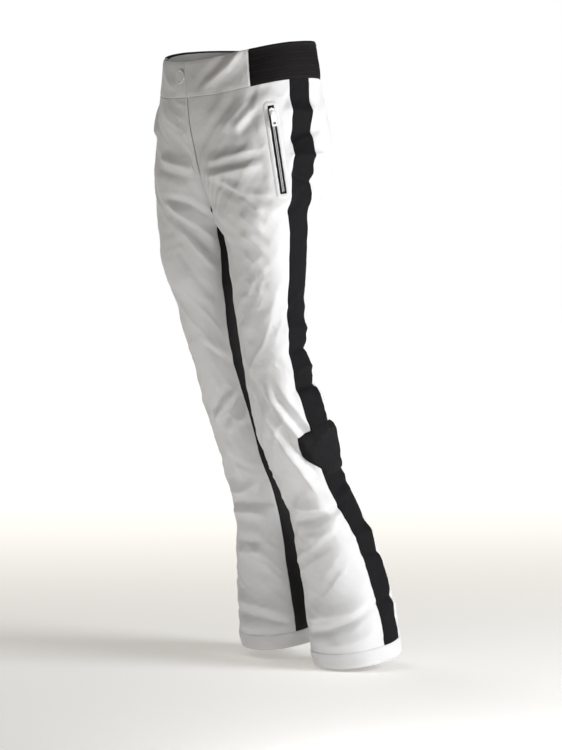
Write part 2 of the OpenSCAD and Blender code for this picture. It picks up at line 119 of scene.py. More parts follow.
# Folds of the cloth: side, height, width, steepness of the lower flank, then the line they run along,
# as pairs of row and angle
FOLDS = [
    # Waistband, drawn down towards the snap
    (1, 3.4, 10, 1.5, (6, -42), (-22, -55), (-54, -82)),
    (1, -2.6, 8, 1.2, (6, -54), (-20, -68), (-50, -88)),
    (-1, 1.6, 11, 1.3, (0, -52), (-25, -66), (-50, -84)),
    # From the pocket tops towards the fly
    (1, 4.2, 9, 1.6, (-84, -29), (-103, -46), (-125, -64)),
    (1, -3.0, 7, 1.3, (-92, -26), (-112, -44), (-134, -60)),
    (1, 3.0, 9, 1.4, (-76, -38), (-95, -54), (-128, -78)),
    (1, 4.0, 9, 1.7, (-150, -34), (-160, -62), (-176, -104)),
    (1, -3.4, 7, 1.2, (-162, -34), (-172, -60), (-183, -106)),
    (1, 3.4, 10, 1.4, (-176, -36), (-188, -72), (-197, -112)),
    (1, 3.2, 8, 1.8, (-228, -12), (-226, -58), (-197, -98)),
    (1, -2.4, 8, 1.2, (-240, -16), (-236, -56), (-208, -96)),
    (-1, 3.2, 9, 1.5, (-84, -30), (-104, -48), (-126, -68)),
    (-1, -2.4, 7, 1.2, (-94, -28), (-114, -46), (-136, -64)),
    (-1, 2.4, 16, 1.2, (-65, -66), (-105, -92), (-150, -111)),
    (-1, 3.0, 10, 1.5, (-184, -126), (-174, -104), (-158, -74)),
    (-1, -2.0, 9, 1.2, (-196, -124), (-188, -100), (-174, -72)),
    # Ripples down the side seams of the hip
    (1, 3.4, 9, 1.2, (-98, -16), (-104, 2), (-102, 22)),
    (1, -4.6, 9, 1.3, (-142, -11), (-130, 2), (-122, 26)),
    (1, 4.4, 10, 1.3, (-160, -14), (-160, 6), (-156, 30)),
    (1, -4.2, 9, 1.2, (-188, -13), (-198, 6), (-206, 32)),
    (1, 3.4, 11, 1.2, (-222, -10), (-228, 10), (-236, 40)),
    (-1, 3.2, 9, 1.2, (-112, -14), (-114, 4), (-110, 24)),
    (-1, -4.0, 9, 1.3, (-146, -12), (-138, 4), (-130, 26)),
    (-1, 4.0, 10, 1.3, (-172, -12), (-174, 8), (-172, 30)),
    (-1, -3.4, 10, 1.2, (-205, -12), (-212, 8), (-220, 34)),
    # Short wrinkles down the inside front of the thighs
    (1, 3.0, 8, 1.5, (-230, -70), (-240, -56), (-258, -38)),
    (1, 3.0, 8, 1.6, (-258, -72), (-270, -57), (-288, -38)),
    (1, 2.8, 8, 1.6, (-288, -78), (-300, -62), (-318, -40)),
    (1, 2.4, 8, 1.5, (-322, -78), (-335, -60), (-352, -40)),
    (1, 2.0, 9, 1.4, (-360, -84), (-375, -66), (-392, -46)),
    (1, 2.4, 9, 1.4, (-250, -150), (-275, -120), (-300, -96)),
    (1, -2.0, 8, 1.2, (-262, -154), (-292, -126), (-322, -100)),
    (-1, -3.8, 7, 1.4, (-226, -84), (-240, -122), (-268, -160)),
    (-1, 4.2, 9, 1.8, (-234, -88), (-262, -118), (-300, -166)),
    (-1, -3.2, 8, 1.3, (-252, -94), (-290, -130), (-322, -166)),
    (-1, 3.0, 10, 1.5, (-268, -102), (-325, -148), (-355, -172)),
    (-1, -1.8, 12, 1.2, (-300, -96), (-360, -130), (-410, -160)),
    # Behind the seat
    (1, 4.0, 11, 1.5, (-232, 118), (-240, 88), (-252, 52)),
    (1, -3.4, 9, 1.3, (-250, 126), (-260, 92), (-272, 56)),
    (1, 3.0, 11, 1.4, (-282, 140), (-284, 104), (-292, 64)),
    (1, 2.6, 14, 1.2, (-330, 150), (-318, 112), (-326, 70)),
    (-1, 4.0, 11, 1.5, (-236, 122), (-246, 88), (-262, 48)),
    (-1, -3.4, 9, 1.3, (-254, 128), (-266, 94), (-282, 54)),
    (-1, 3.2, 11, 1.4, (-288, 140), (-294, 102), (-306, 60)),
    (1, 2.2, 14, 1.2, (-96, 118), (-118, 92), (-150, 62)),
    (-1, 2.2, 14, 1.2, (-98, 118), (-122, 90), (-158, 58)),
    # Thigh, above the knee
    (1, 3.0, 12, 1.2, (-448, -26), (-444, 12), (-452, 60)),
    (1, -4.4, 9, 1.5, (-492, -26), (-480, 9), (-484, 44), (-498, 84)),
    (1, 4.0, 11, 1.3, (-520, -20), (-512, 12), (-518, 56)),
    (1, -4.4, 9, 1.5, (-546, -30), (-543, 8), (-548, 48), (-560, 86)),
    (1, 2.6, 10, 1.4, (-478, -112), (-496, -98), (-524, -84)),
    (-1, 2.8, 12, 1.4, (-452, -104), (-478, -140), (-500, -166)),
    (-1, -2.6, 9, 1.3, (-468, -108), (-494, -142), (-514, -168)),
    (-1, 3.0, 11, 1.2, (-500, -20), (-494, 14), (-502, 60)),
    (-1, -3.6, 9, 1.4, (-528, -22), (-520, 12), (-528, 62)),
    # Knee: drag lines from the inside front round to the back
    (1, 6.0, 8.5, 1.9, (-536, -96), (-560, -84), (-602, -68), (-660, -50), (-720, -34)),
    (1, -3.6, 6.5, 1.3, (-530, -84), (-560, -70), (-604, -54), (-650, -36), (-690, -20)),
    (1, 4.6, 8, 1.7, (-524, -74), (-556, -60), (-592, -44), (-640, -22)),
    (1, -3.0, 6, 1.3, (-528, -58), (-560, -44), (-596, -30), (-622, -16)),
    (1, 3.8, 8, 1.5, (-528, -46), (-562, -32), (-600, -14), (-640, 4)),
    (-1, 4.6, 7.5, 1.8, (-592, -88), (-566, -116), (-545, -146)),
    (-1, -3.4, 6, 1.4, (-598, -98), (-576, -126), (-556, -148)),
    (-1, -3.0, 6.5, 1.3, (-582, -80), (-556, -110), (-538, -136)),
    (-1, 3.4, 9, 1.5, (-612, -104), (-594, -130), (-578, -156)),
    (-1, 3.0, 22, 1.2, (-610, -92), (-660, -104), (-705, -112)),
    # Behind the knees
    (1, 4.4, 9, 1.4, (-590, 50), (-598, 92), (-590, 138)),
    (1, -4.4, 8, 1.4, (-612, 48), (-620, 92), (-612, 140)),
    (1, 4.4, 9, 1.4, (-636, 52), (-642, 94), (-634, 138)),
    (1, -3.8, 9, 1.3, (-660, 56), (-666, 96), (-656, 136)),
    (1, 3.0, 11, 1.3, (-690, 50), (-694, 92), (-684, 132)),
    (-1, 4.4, 9, 1.4, (-600, 46), (-610, 90), (-600, 138)),
    (-1, -4.4, 8, 1.4, (-624, 46), (-632, 92), (-622, 140)),
    (-1, 4.4, 9, 1.4, (-648, 50), (-654, 92), (-646, 138)),
    (-1, -3.6, 9, 1.3, (-674, 54), (-680, 94), (-668, 136)),
    # Below the knees, where the cloth rests on the boot top
    (1, 6.4, 15, 1.5, (-728, -96), (-734, -62), (-736, -24)),
    (1, -6.0, 7, 1.5, (-758, -108), (-754, -60), (-748, -16), (-740, 12)),
    (1, 3.0, 14, 1.2, (-784, -96), (-782, -50), (-768, -14)),
    (1, 3.4, 16, 1.2, (-790, 80), (-776, 118), (-786, 156)),
    (1, -2.8, 10, 1.3, (-812, 76), (-800, 118), (-808, 156)),
    (-1, 6.0, 13, 1.4, (-716, -62), (-716, -104), (-702, -134)),
    (-1, -6.0, 7, 1.6, (-742, -52), (-738, -108), (-748, -156)),
    (-1, 3.6, 9, 1.4, (-756, -50), (-754, -110), (-762, -154)),
    (-1, -2.6, 10, 1.3, (-806, -70), (-806, -128)),
    (-1, 2.4, 12, 1.3, (-826, -66), (-822, -130)),
    (-1, 3.4, 14, 1.3, (-790, 60), (-780, 104), (-792, 150)),
    (-1, -2.8, 10, 1.3, (-816, 62), (-808, 106), (-816, 150)),
    # Breaks above the hems
    (1, 4.6, 17, 1.3, (-892, 10), (-914, -34), (-922, -84), (-934, -130)),
    (1, -5.6, 7, 1.6, (-908, 8), (-932, -34), (-946, -76), (-958, -128)),
    (1, 3.4, 14, 1.3, (-950, 4), (-966, -40), (-972, -90)),
    (1, 3.2, 16, 1.3, (-910, 60), (-900, 104), (-912, 150)),
    (1, -2.8, 10, 1.3, (-934, 56), (-926, 104), (-936, 150)),
    (-1, 4.2, 15, 1.3, (-912, -56), (-920, -108), (-936, -150)),
    (-1, -4.8, 7, 1.5, (-936, -58), (-942, -112), (-960, -156)),
    (-1, 3.0, 12, 1.3, (-958, -62), (-962, -116)),
    (-1, 3.2, 16, 1.3, (-896, 56), (-888, 104), (-900, 150)),
    (-1, -3.0, 10, 1.3, (-920, 54), (-914, 104), (-924, 150)),
    # Creases across the lower stripes
    (1, -2.6, 7, 1.4, (-722, -14), (-716, 14), (-720, 44)),
    (1, 2.4, 10, 1.3, (-798, -10), (-800, 20), (-806, 50)),
    (1, -2.4, 8, 1.3, (-826, -8), (-832, 20), (-840, 52)),
    (1, -2.6, 8, 1.4, (-912, 2), (-912, 30), (-922, 60)),
]

# Families of small creases: lean (mm down per degree round), spacing, cells round, rise, seed,
# from row, to row
CREASES = [
    (1.7, 17, 6, 2.2, 201, -62, -255),
    (1.1, 34, 5, 1.3, 203, -215, -420),
    (1.5, 30, 5, 1.7, 205, -370, -640),
    (0.7, 21, 6, 2.0, 207, -560, -960),
    (-0.8, 15, 7, 1.0, 209, -480, -980),
]


def clamp(v, low, high):
    """v held between low and high."""
    return np.minimum(high, np.maximum(low, v))


def ease(t):
    """A smooth step from 0 to 1."""
    t = clamp(t, 0.0, 1.0)
    return t * t * (3 - 2 * t)


def along(table, z, column=1):
    """A column of a station table at the heights z, on a smooth curve through its stations."""
    rows = np.array(table, float)
    h, v = rows[:, 0], rows[:, column]
    m = np.empty(len(h))
    m[1:-1] = (v[2:] - v[:-2]) / (h[2:] - h[:-2])
    m[0], m[-1] = (v[1] - v[0]) / (h[1] - h[0]), (v[-1] - v[-2]) / (h[-1] - h[-2])
    z = np.asarray(z, float)
    i = clamp(np.searchsorted(-h, -z) - 1, 0, len(h) - 2)
    gap = h[i + 1] - h[i]
    t = clamp((z - h[i]) / gap, 0, 1)
    return ((2 * t**3 - 3 * t**2 + 1) * v[i] + (t**3 - 2 * t**2 + t) * gap * m[i]
            + (3 * t**2 - 2 * t**3) * v[i + 1] + (t**3 - t**2) * gap * m[i + 1])


def level(s, a):
    """Height of row s at angle a: rows follow the waistband above the hip and are level below it."""
    b = np.radians(clamp(a, -90, 90))
    top = BACK_RISE / 2 * (1 + np.sin(b)) + SIDE_RISE * np.cos(b) ** 2
    mid = HIP + (top - BAND_H - HIP) * (s - HIP) / (-BAND_H - HIP)
    return np.where(s >= -BAND_H, top + s, np.where(s > HIP, mid, s + 0 * top))


def spot(side, z, a, depth=0.0):
    """Points of the smooth body at heights z and angles a: 0 outside, -90 front, 90 back, 180 inside."""
    c, s = np.cos(np.radians(a)), np.sin(np.radians(a))
    rx = np.where(c >= 0, along(SHAPE, z, 2), along(SHAPE, z, 3)) - depth
    ry = np.where(s < 0, along(SHAPE, z, 4), along(SHAPE, z, 5)) - depth
    power = 2 / SQUARENESS
    x = along(SHAPE, z, 1) + rx * np.sign(c) * np.abs(c) ** power
    y = ry * np.sign(s) * np.abs(s) ** power
    return np.stack([side * np.maximum(x, SEAM), along(MIDDLE[side], z) + y, z + along(SLOPE, z) * y], -1)


def meet(z, x0, depth=0.0):
    """Angle at which the section comes to the distance x0 from the middle plane."""
    v = along(SHAPE, z, 1) - x0
    inner = clamp(v / (along(SHAPE, z, 3) - depth), 0, 1) ** (SQUARENESS / 2)
    outer = clamp(-v / (along(SHAPE, z, 2) - depth), 0, 1) ** (SQUARENESS / 2)
    return np.degrees(np.where(v >= 0, np.arccos(-inner), np.arccos(outer)))


def front_y(z, x, depth=0.0):
    """Front of the body at height z and distance x from the middle plane."""
    v = np.abs(x) - along(SHAPE, z, 1)
    r = np.where(v >= 0, along(SHAPE, z, 2), along(SHAPE, z, 3)) - depth
    flat = (1 - clamp(np.abs(v) / r, 0, 1) ** SQUARENESS) ** (1 / SQUARENESS)
    return along(MIDDLE[1], z) - (along(SHAPE, z, 4) - depth) * flat


def half_angle(z, width):
    """Half the angle that a width in millimetres takes up on the section at height z."""
    return width / (along(SHAPE, z, 4) + along(SHAPE, z, 5)) * 180 / math.pi


def turn(side, z):
    """Angle of the outer stripe's middle."""
    return along(TURN[side], z)


def stripe_half(z):
    """Half the outer stripe's angle: it is narrower over the hip."""
    return half_angle(z, STRIPE_HIP_W + (STRIPE_W - STRIPE_HIP_W) * ease((HIP - z) / 110))


def inner_half(z):
    """Half the inner stripe's angle: it comes to a point over the crotch."""
    return half_angle(z, INNER_W) * ease((GUSSET_TOP - z) / 32)


def middle_rest(z):
    """How far from the inside the body meets the middle plane, fading out just below the crotch."""
    return (180 - meet(np.maximum(z, CROTCH), SEAM)) * ease((z - CROTCH + 14) / 14)


def inner_turn(side, z):
    """How far the inner stripe turns with the leg."""
    return turn(side, z) * ease((CROTCH - z) / 60)


def fold_x(z):
    """Distance of the flap's slanted fold line from the middle plane."""
    return FLAP_W * clamp(1 + z / FLY_DROP, 0, 1)


def front_start(side, z):
    """Distance from the middle plane at which a front panel starts: the flap takes the right side's edge."""
    return np.where((side < 0) & (z > -FLY_DROP), fold_x(z) + FOLD_GAP, SEAM)


# Seam lines: the angle of each panel's edge on row s
def front_in(side, s):
    """Inner edge of the front panel."""
    z = level(s, -90)
    return np.where(z > -FLY_DROP, -meet(z, front_start(side, z)),
                    -180 + middle_rest(z) + inner_half(z) + inner_turn(side, z) + half_angle(z, SEAM))


def stripe_edge(edge, seam):
    """An edge beside the outer stripe's front (-1) or back (1), on the front (-1) or back (1) of the seam."""
    def angle(side, s):
        z = level(s, 0)
        return turn(side, z) + edge * stripe_half(z) + seam * half_angle(z, SEAM)
    return angle


front_out, stripe_from = stripe_edge(-1, -1), stripe_edge(-1, 1)
stripe_to, back_out = stripe_edge(1, -1), stripe_edge(1, 1)


def back_in(side, s):
    """Inner edge of the back panel."""
    z = level(s, 90)
    return 180 - middle_rest(z) - inner_half(z) + inner_turn(side, z) - half_angle(z, SEAM)


def inner_from(side, s):
    """Back edge of the inner stripe."""
    return 180 - middle_rest(s) - inner_half(s) + inner_turn(side, s) + half_angle(s, SEAM)


def inner_to(side, s):
    """Front edge of the inner stripe."""
    return 180 + middle_rest(s) + inner_half(s) + inner_turn(side, s) - half_angle(s, SEAM)


def drift(rows, round_about, seed):
    """Smooth noise from -1 to 1, repeating after as many cells round the leg as round_about has."""
    cells, turns = round_about
    table = np.random.default_rng(seed).uniform(-1, 1, (97, cells))
    x, y = rows, turns * cells
    i, j = np.floor(x).astype(int), np.floor(y).astype(int)
    u, v = ease(x - i), ease(y - j)
    pick = lambda a, b: table[a % 97, b % cells]
    low = pick(i, j) * (1 - u) + pick(i + 1, j) * u
    high = pick(i, j + 1) * (1 - u) + pick(i + 1, j + 1) * u
    return low * (1 - v) + high * v


def pocket_frame(side):
    """Rotation and origin of the pocket zip: X outward, Y back, Z up along the zip, in millimetres."""
    turned = np.array((Matrix.Rotation(math.radians(POCKET_TILT[2]), 3, "Z")
                       @ Matrix.Rotation(math.radians(POCKET_TILT[1]), 3, "Y")
                       @ Matrix.Rotation(math.radians(POCKET_TILT[0]), 3, "X")))
    origin = spot(1, POCKET_Z, POCKET_A) + turned @ np.array([0.8, 0, 0])
    flip = np.diag([side, 1, 1])
    return flip @ turned, flip @ origin


def folds(side, s, a, metric):
    """Height of the folds over the smooth body, in millimetres; metric is millimetres per degree."""
    s, a, metric = (np.array(v, float) for v in np.broadcast_arrays(s, a, metric))
    height = np.zeros(s.shape)
    for leg, rise, width, steep, *path in FOLDS:
        if leg != side:
            continue
        path = np.array(path, float)
        width = width * FOLD_TIGHTEN
        lap = np.round((path[:, 1].mean() - a) / 360) * 360
        near = (s < path[:, 0].max() + 5 * width) & (s > path[:, 0].min() - 5 * width)
        near &= (a + lap < path[:, 1].max() + 75) & (a + lap > path[:, 1].min() - 75)
        if not near.any():
            continue
        px = [(q[1] - (a + lap)[near]) * metric[near] for q in path]
        py = [q[0] - s[near] for q in path]
        sizes = np.hypot(np.diff(path[:, 0]), np.diff(path[:, 1]))
        best, run, flank = np.full(px[0].shape, 1e9), np.zeros(px[0].shape), np.zeros(px[0].shape)
        for k in range(len(path) - 1):
            dx, dy = px[k + 1] - px[k], py[k + 1] - py[k]
            t = clamp(-(px[k] * dx + py[k] * dy) / (dx * dx + dy * dy + 1e-9), 0, 1)
            ox, oy = px[k] + t * dx, py[k] + t * dy
            far = np.hypot(ox, oy)
            closer = far < best
            best = np.where(closer, far, best)
            run = np.where(closer, (sizes[:k].sum() + t * sizes[k]) / sizes.sum(), run)
            flank = np.where(closer, np.sign(oy), flank)
        reach = width * np.where(flank > 0, 1 / steep, 1.25)
        ends = ease(run / 0.3 + 0.12) * ease((1 - run) / 0.3 + 0.12)
        # A rounded foot with a peaked top, and a shallow dip beyond it
        foot = 0.45 * np.exp(-(best / reach) ** 2)
        peak = 0.55 * np.exp(-(np.hypot(best, 1.6) - 1.6) / (0.62 * reach))
        dip = 0.22 * np.exp(-((best - 2.2 * width) / width) ** 2)
        height[near] += rise * ends * (foot + peak - dip)
    turns = a / 360 + 2
    warp = 0.35 * drift(s / 90, (5, turns), 3)
    height += 1.4 * drift(s / 62 + warp, (6, turns), 11)
    height += 0.9 * drift(s / 24 + 2 * warp, (13, turns), 12)
    height += 0.34 * drift(s / 10 + 3 * warp, (30, turns), 13)
    # Small sharp creases, in families that lie aslant: each is where smooth noise crosses zero
    inward = np.abs((a + 180) % 360 - 180)
    for lean, apart, cells, rise, seed, low, high in CREASES:
        bend = 0.5 * drift(s / 41, (9, turns), seed + 40)
        along_family = (s - lean * a) / apart + 2 * warp + bend
        lines = 0.3 - np.abs(drift(along_family, (cells, turns + 0.02 * bend), seed + (side < 0)))
        window = ease((low - s) / 40 + 0.5) * ease((s - high) / 40 + 0.5) * ease((165 - inward) / 30)
        height += rise * lines * window
    return height


def surface(side, s, a, lift=0.0, calm=1.0):
    """Points of the folded cloth on rows s at angles a, lifted off it, and their outward directions."""
    s, a = np.broadcast_arrays(np.asarray(s, float), np.asarray(a, float))
    base = spot(side, level(s, a), a)
    across = spot(side, level(s, a + 0.4), a + 0.4) - spot(side, level(s, a - 0.4), a - 0.4)
    up = spot(side, level(s + 1, a), a) - spot(side, level(s - 1, a), a)
    out = np.cross(across, up) * side
    out /= np.linalg.norm(out, axis=-1, keepdims=True) + 1e-9
    metric = np.maximum(np.linalg.norm(across, axis=-1) / 0.8, 0.4)
    rise = folds(side, s, a, metric) * calm * SETTINGS["fold_height"]
    # The cloth lies flat under the pocket zip, which is straight
    turned, origin = pocket_frame(side)
    local = (base - origin) @ turned
    beyond = np.hypot(local[..., 1], np.maximum(np.abs(local[..., 2]) - ZIP_L / 2 - 6, 0))
    near = (1 - ease((beyond - 9) / 22)) * (np.abs(local[..., 0]) < 30)
    rise = rise * (1 - near) + (-0.5 - local[..., 0]) * near
    # Little room at the middle seams and the crotch
    rise = rise * ease(np.abs(base[..., 0]) / 12 + 0.15)
    # The thighs stand a little apart just below the crotch
    inward = 180 - np.abs((a + 180) % 360 - 180)
    apart = THIGH_GAP * np.exp(-((s - THIGH_GAP_ROW) / THIGH_GAP_REACH) ** 2)
    apart = apart * np.exp(-(inward / 40) ** 2) * ease((-246 - s) / 16)
    points = base + out * (rise + lift - apart)[..., None]
    # An edge at a middle seam stays on the middle plane, so the two sides meet
    points[..., 0] = np.where(base[..., 0] * side < 0.1, SEAM * side, points[..., 0])
    return points, out


def steps(length, step):
    """Distances from 0 to length, closer together near both ends."""
    edge = [0, 0.5, 1.2, 2.2, 3.6]
    if length < 14:
        return np.linspace(0, length, 9)
    inside = np.linspace(5.5, length - 5.5, max(2, round((length - 11) / step) + 1))
    return np.concatenate([edge, inside, length - np.array(edge[::-1])])


def mesh_of(name, points, faces, uvs=None, flat=(), inner=()):
    """A mesh object from points in millimetres; flat and inner are index ranges of its faces."""
    mesh = bpy.data.meshes.new(name)
    mesh.from_pydata((np.asarray(points) / 1000).tolist(), [], faces)
    smooth = np.ones(len(faces), bool)
    for low, high in flat:
        smooth[low:high] = False
    mesh.polygons.foreach_set("use_smooth", smooth)
    which = np.zeros(len(faces), np.int32)
    for low, high in inner:
        which[low:high] = 1
    mesh.polygons.foreach_set("material_index", which)
    if uvs is not None:
        layer = mesh.uv_layers.new(name="cut")
        corners = np.empty(len(mesh.loops), np.int32)
        mesh.loops.foreach_get("vertex_index", corners)
        layer.data.foreach_set("uv", (np.asarray(uvs)[corners] / 1000).astype(np.float32).ravel())
    mesh.update()
    piece = bpy.data.objects.new(name, mesh)
    bpy.context.scene.collection.objects.link(piece)
    return piece


def cloth(name, grid, thick, materials, closed=False):
    """A thick piece of cloth from the points of its outer face, in rows from top to bottom."""
    grid = np.asarray(grid, float)
    rows, cols = grid.shape[:2]
    down = np.gradient(grid, axis=0)
    if closed:
        across = np.roll(grid, -1, 1) - np.roll(grid, 1, 1)
    else:
        across = np.gradient(grid, axis=1)
    out = np.cross(down, across)
    out /= np.linalg.norm(out, axis=-1, keepdims=True) + 1e-9
    inside = grid - out * thick
    points = np.concatenate([grid.reshape(-1, 3), inside.reshape(-1, 3)])
    wide = np.linalg.norm(np.diff(grid, axis=1), axis=-1)
    tall = np.linalg.norm(np.diff(grid, axis=0), axis=-1)
    u = np.concatenate([np.zeros((rows, 1)), np.cumsum(wide, 1)], 1)
    u -= u[:, -1:] / 2
    v = -np.concatenate([[0], np.cumsum(tall.mean(1))])[:, None] + 0 * u
    uv = np.stack([u, v], -1).reshape(-1, 2)
    size = rows * cols
    i, j = np.meshgrid(np.arange(rows - 1), np.arange(cols if closed else cols - 1), indexing="ij")
    k = (j + 1) % cols
    a, b, c, d = i * cols + j, (i + 1) * cols + j, (i + 1) * cols + k, i * cols + k
    outer = np.stack([a, b, c, d], -1).reshape(-1, 4)
    inner = outer[:, ::-1] + size
    j = np.arange(cols if closed else cols - 1)
    k = (j + 1) % cols
    last = (rows - 1) * cols
    rims = [np.stack([j, k, k + size, j + size], -1),
            np.stack([last + k, last + j, last + j + size, last + k + size], -1)]
    if not closed:
        i = np.arange(rows - 1) * cols
        rims.append(np.stack([i, i + size, i + cols + size, i + cols], -1))
        i = i + cols - 1
        rims.append(np.stack([i, i + cols, i + cols + size, i + size], -1))
    faces = np.concatenate([outer, inner] + rims)
    piece = mesh_of(name, points, faces.tolist(), np.concatenate([uv, uv]),
                    flat=[(2 * len(outer), len(faces))], inner=[(len(outer), 2 * len(outer))])
    for material in materials:
        piece.data.materials.append(material)
    return piece


def row_lengths(side, s, a0, a1, count):
    """Length of the smooth body's rows s between the angles a0 and a1, from count points on each."""
    angles = np.linspace(0, 1, count)[None] * (a1 - a0) + a0
    points = spot(side, level(s + 0 * angles, angles), angles)
    return np.linalg.norm(np.diff(points, axis=1), axis=-1).sum(1)


def panel(side, top, bottom, start, end, lift=0.0, seam_depth=1.1, step=None, extra=None, calm=1.0,
          edges=(1, 1)):
    """The outer face of a sewn panel, as a grid of points, with its side edges sunk into their seams.
    start and end give the angle of its edges on a row; extra(s, a, f) adds height."""
    step = step or SETTINGS["grid_step"]
    s = (top - steps(top - bottom, step))[:, None]
    a0, a1 = start(side, s), end(side, s)
    lengths = row_lengths(side, s, a0, a1, 9)
    share = steps(lengths.max(), step) / lengths.max()
    a = a0 + (a1 - a0) * share[None]
    width = lengths[:, None]
    near0, near1 = share[None] * width, (1 - share[None]) * width
    sunk = -seam_depth * (edges[0] * np.exp(-(near0 / 1.7) ** 2)
                          + edges[1] * np.exp(-(near1 / 1.7) ** 2))
    near = np.minimum(np.where(edges[0], near0, 99), np.where(edges[1], near1, 99))
    pucker = 0.35 * np.exp(-(near / 8) ** 2) * drift(s / 6.5 + a * 0, (5, a / 360 + 2), 21)
    height = lift + sunk + pucker + (extra(s, a, share[None]) if extra else 0)
    grid, _ = surface(side, s, a, height, calm)
    return grid[:, ::-1] if side < 0 else grid


def leg_blend(piece, side):
    """Bakes the piece's placing into its mesh. The ends of the knee zone, between the body of the trousers and the
    lower leg, are worked out but not used: the piece does not bend.
    """
    x = side * float(along(SHAPE, KNEE, 1)) / 1000
    ends = [(x, float(along(MIDDLE[side], z)) / 1000, z / 1000)
            for z in (KNEE + KNEE_ZONE, KNEE - KNEE_ZONE)]
    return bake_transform(piece)


def lengths_of(kind, side):
    """Names of the three CAD lengths that one panel stands for."""
    return [f"{kind}_{part}_{NAMES[side]}" for part in ("upper", "knee", "lower")]


# Materials -------------------------------------------------------------------------------------------

BANDS_PER_UNIT = 0.31416  # a wave texture of this scale has one band to the metre
# Directions of the two sets of threads of a weave, as wave textures name them
WEAVES = {"TWILL": ("DIAGONAL", "Y"), "PLAIN": ("X", "Y"), "ACROSS": ("Y", "Y"), "UP": ("X", "X")}


def paint(code):
    """Linear colour from an sRGB hex code."""
    parts = [int(code[k:k + 2], 16) / 255 for k in (1, 3, 5)]
    return [p / 12.92 if p <= 0.04045 else ((p + 0.055) / 1.055) ** 2.4 for p in parts] + [1.0]


def add(tree, kind, inputs=None, **props):
    """Adds a node; inputs are values or the sockets they come from."""
    made = tree.nodes.new(kind)
    for key, value in props.items():
        setattr(made, key, value)
    for key, value in (inputs or {}).items():
        if isinstance(value, bpy.types.NodeSocket):
            tree.links.new(value, made.inputs[key])
        else:
            made.inputs[key].default_value = value
    return made


def start_material(name):
    """A material with only its surface shader and output."""
    material = bpy.data.materials.new(name)
    material.use_nodes = True
    tree = material.node_tree
    tree.nodes.clear()
    shader = add(tree, "ShaderNodeBsdfPrincipled")
    add(tree, "ShaderNodeOutputMaterial", {"Surface": shader.outputs[0]})
    return material, tree, shader


def fabric(name, colour, worn, pitch, rough, relief, weave="TWILL", gloss=0.22, sheen=0.0, crinkle=0.0,
           laid="cut"):
    """Cloth with threads a pitch apart (metres), slightly uneven in tone. It is laid out by the piece's own
    cut, or by the object's space where laid is "object"; crinkle is the depth of its small creases."""
    material, tree, shader = start_material(name)
    place = add(tree, "ShaderNodeTexCoord").outputs["Object"]
    flat = place if laid == "object" else add(tree, "ShaderNodeUVMap", uv_map="cut").outputs[0]
    scale = BANDS_PER_UNIT / pitch
    first, second = WEAVES[weave]
    warp = add(tree, "ShaderNodeTexWave", {"Vector": flat, "Scale": scale, "Distortion": 0.5},
               bands_direction=first).outputs["Fac"]
    weft = add(tree, "ShaderNodeTexWave", {"Vector": flat, "Scale": scale * 0.8, "Distortion": 0.4},
               bands_direction=second).outputs["Fac"]
    threads = add(tree, "ShaderNodeMath", {0: warp, 1: weft}, operation="MULTIPLY").outputs[0]
    broad = add(tree, "ShaderNodeTexNoise", {"Vector": place, "Scale": 9.0, "Detail": 3.0}).outputs["Fac"]
    fine = add(tree, "ShaderNodeTexNoise", {"Vector": place, "Scale": 620.0, "Detail": 2.0}).outputs["Fac"]
    patchy = add(tree, "ShaderNodeMath", {0: broad, 1: 0.75, 2: 0.12}, operation="MULTIPLY_ADD").outputs[0]
    tone = add(tree, "ShaderNodeMix", {0: patchy, 6: paint(colour), 7: paint(worn)}, data_type="RGBA").outputs[2]
    shade = add(tree, "ShaderNodeMath", {0: threads, 1: 0.10, 2: 0.90}, operation="MULTIPLY_ADD").outputs[0]
    dimmed = add(tree, "ShaderNodeMix", {0: 1.0, 6: tone, 7: shade}, data_type="RGBA", blend_type="MULTIPLY")
    roughness = add(tree, "ShaderNodeMath", {0: patchy, 1: 0.12, 2: rough - 0.06}, operation="MULTIPLY_ADD")
    height = add(tree, "ShaderNodeMath", {0: fine, 1: 0.5, 2: threads}, operation="MULTIPLY_ADD")
    bump = add(tree, "ShaderNodeBump", {"Height": height.outputs[0], "Distance": relief, "Strength": 0.7})
    if crinkle:
        creases = add(tree, "ShaderNodeTexNoise",
                      {"Vector": place, "Scale": 62.0, "Detail": 3.0, "Distortion": 0.6},
                      noise_type="RIDGED_MULTIFRACTAL").outputs["Fac"]
        bump = add(tree, "ShaderNodeBump", {"Height": creases, "Distance": crinkle, "Strength": 0.6,
                                            "Normal": bump.outputs[0]})
    tree.links.new(dimmed.outputs[2], shader.inputs["Base Color"])
    tree.links.new(roughness.outputs[0], shader.inputs["Roughness"])
    tree.links.new(bump.outputs[0], shader.inputs["Normal"])
    shader.inputs["Sheen Weight"].default_value = sheen
    shader.inputs["Sheen Roughness"].default_value = 0.45
    shader.inputs["Specular IOR Level"].default_value = gloss
    return material


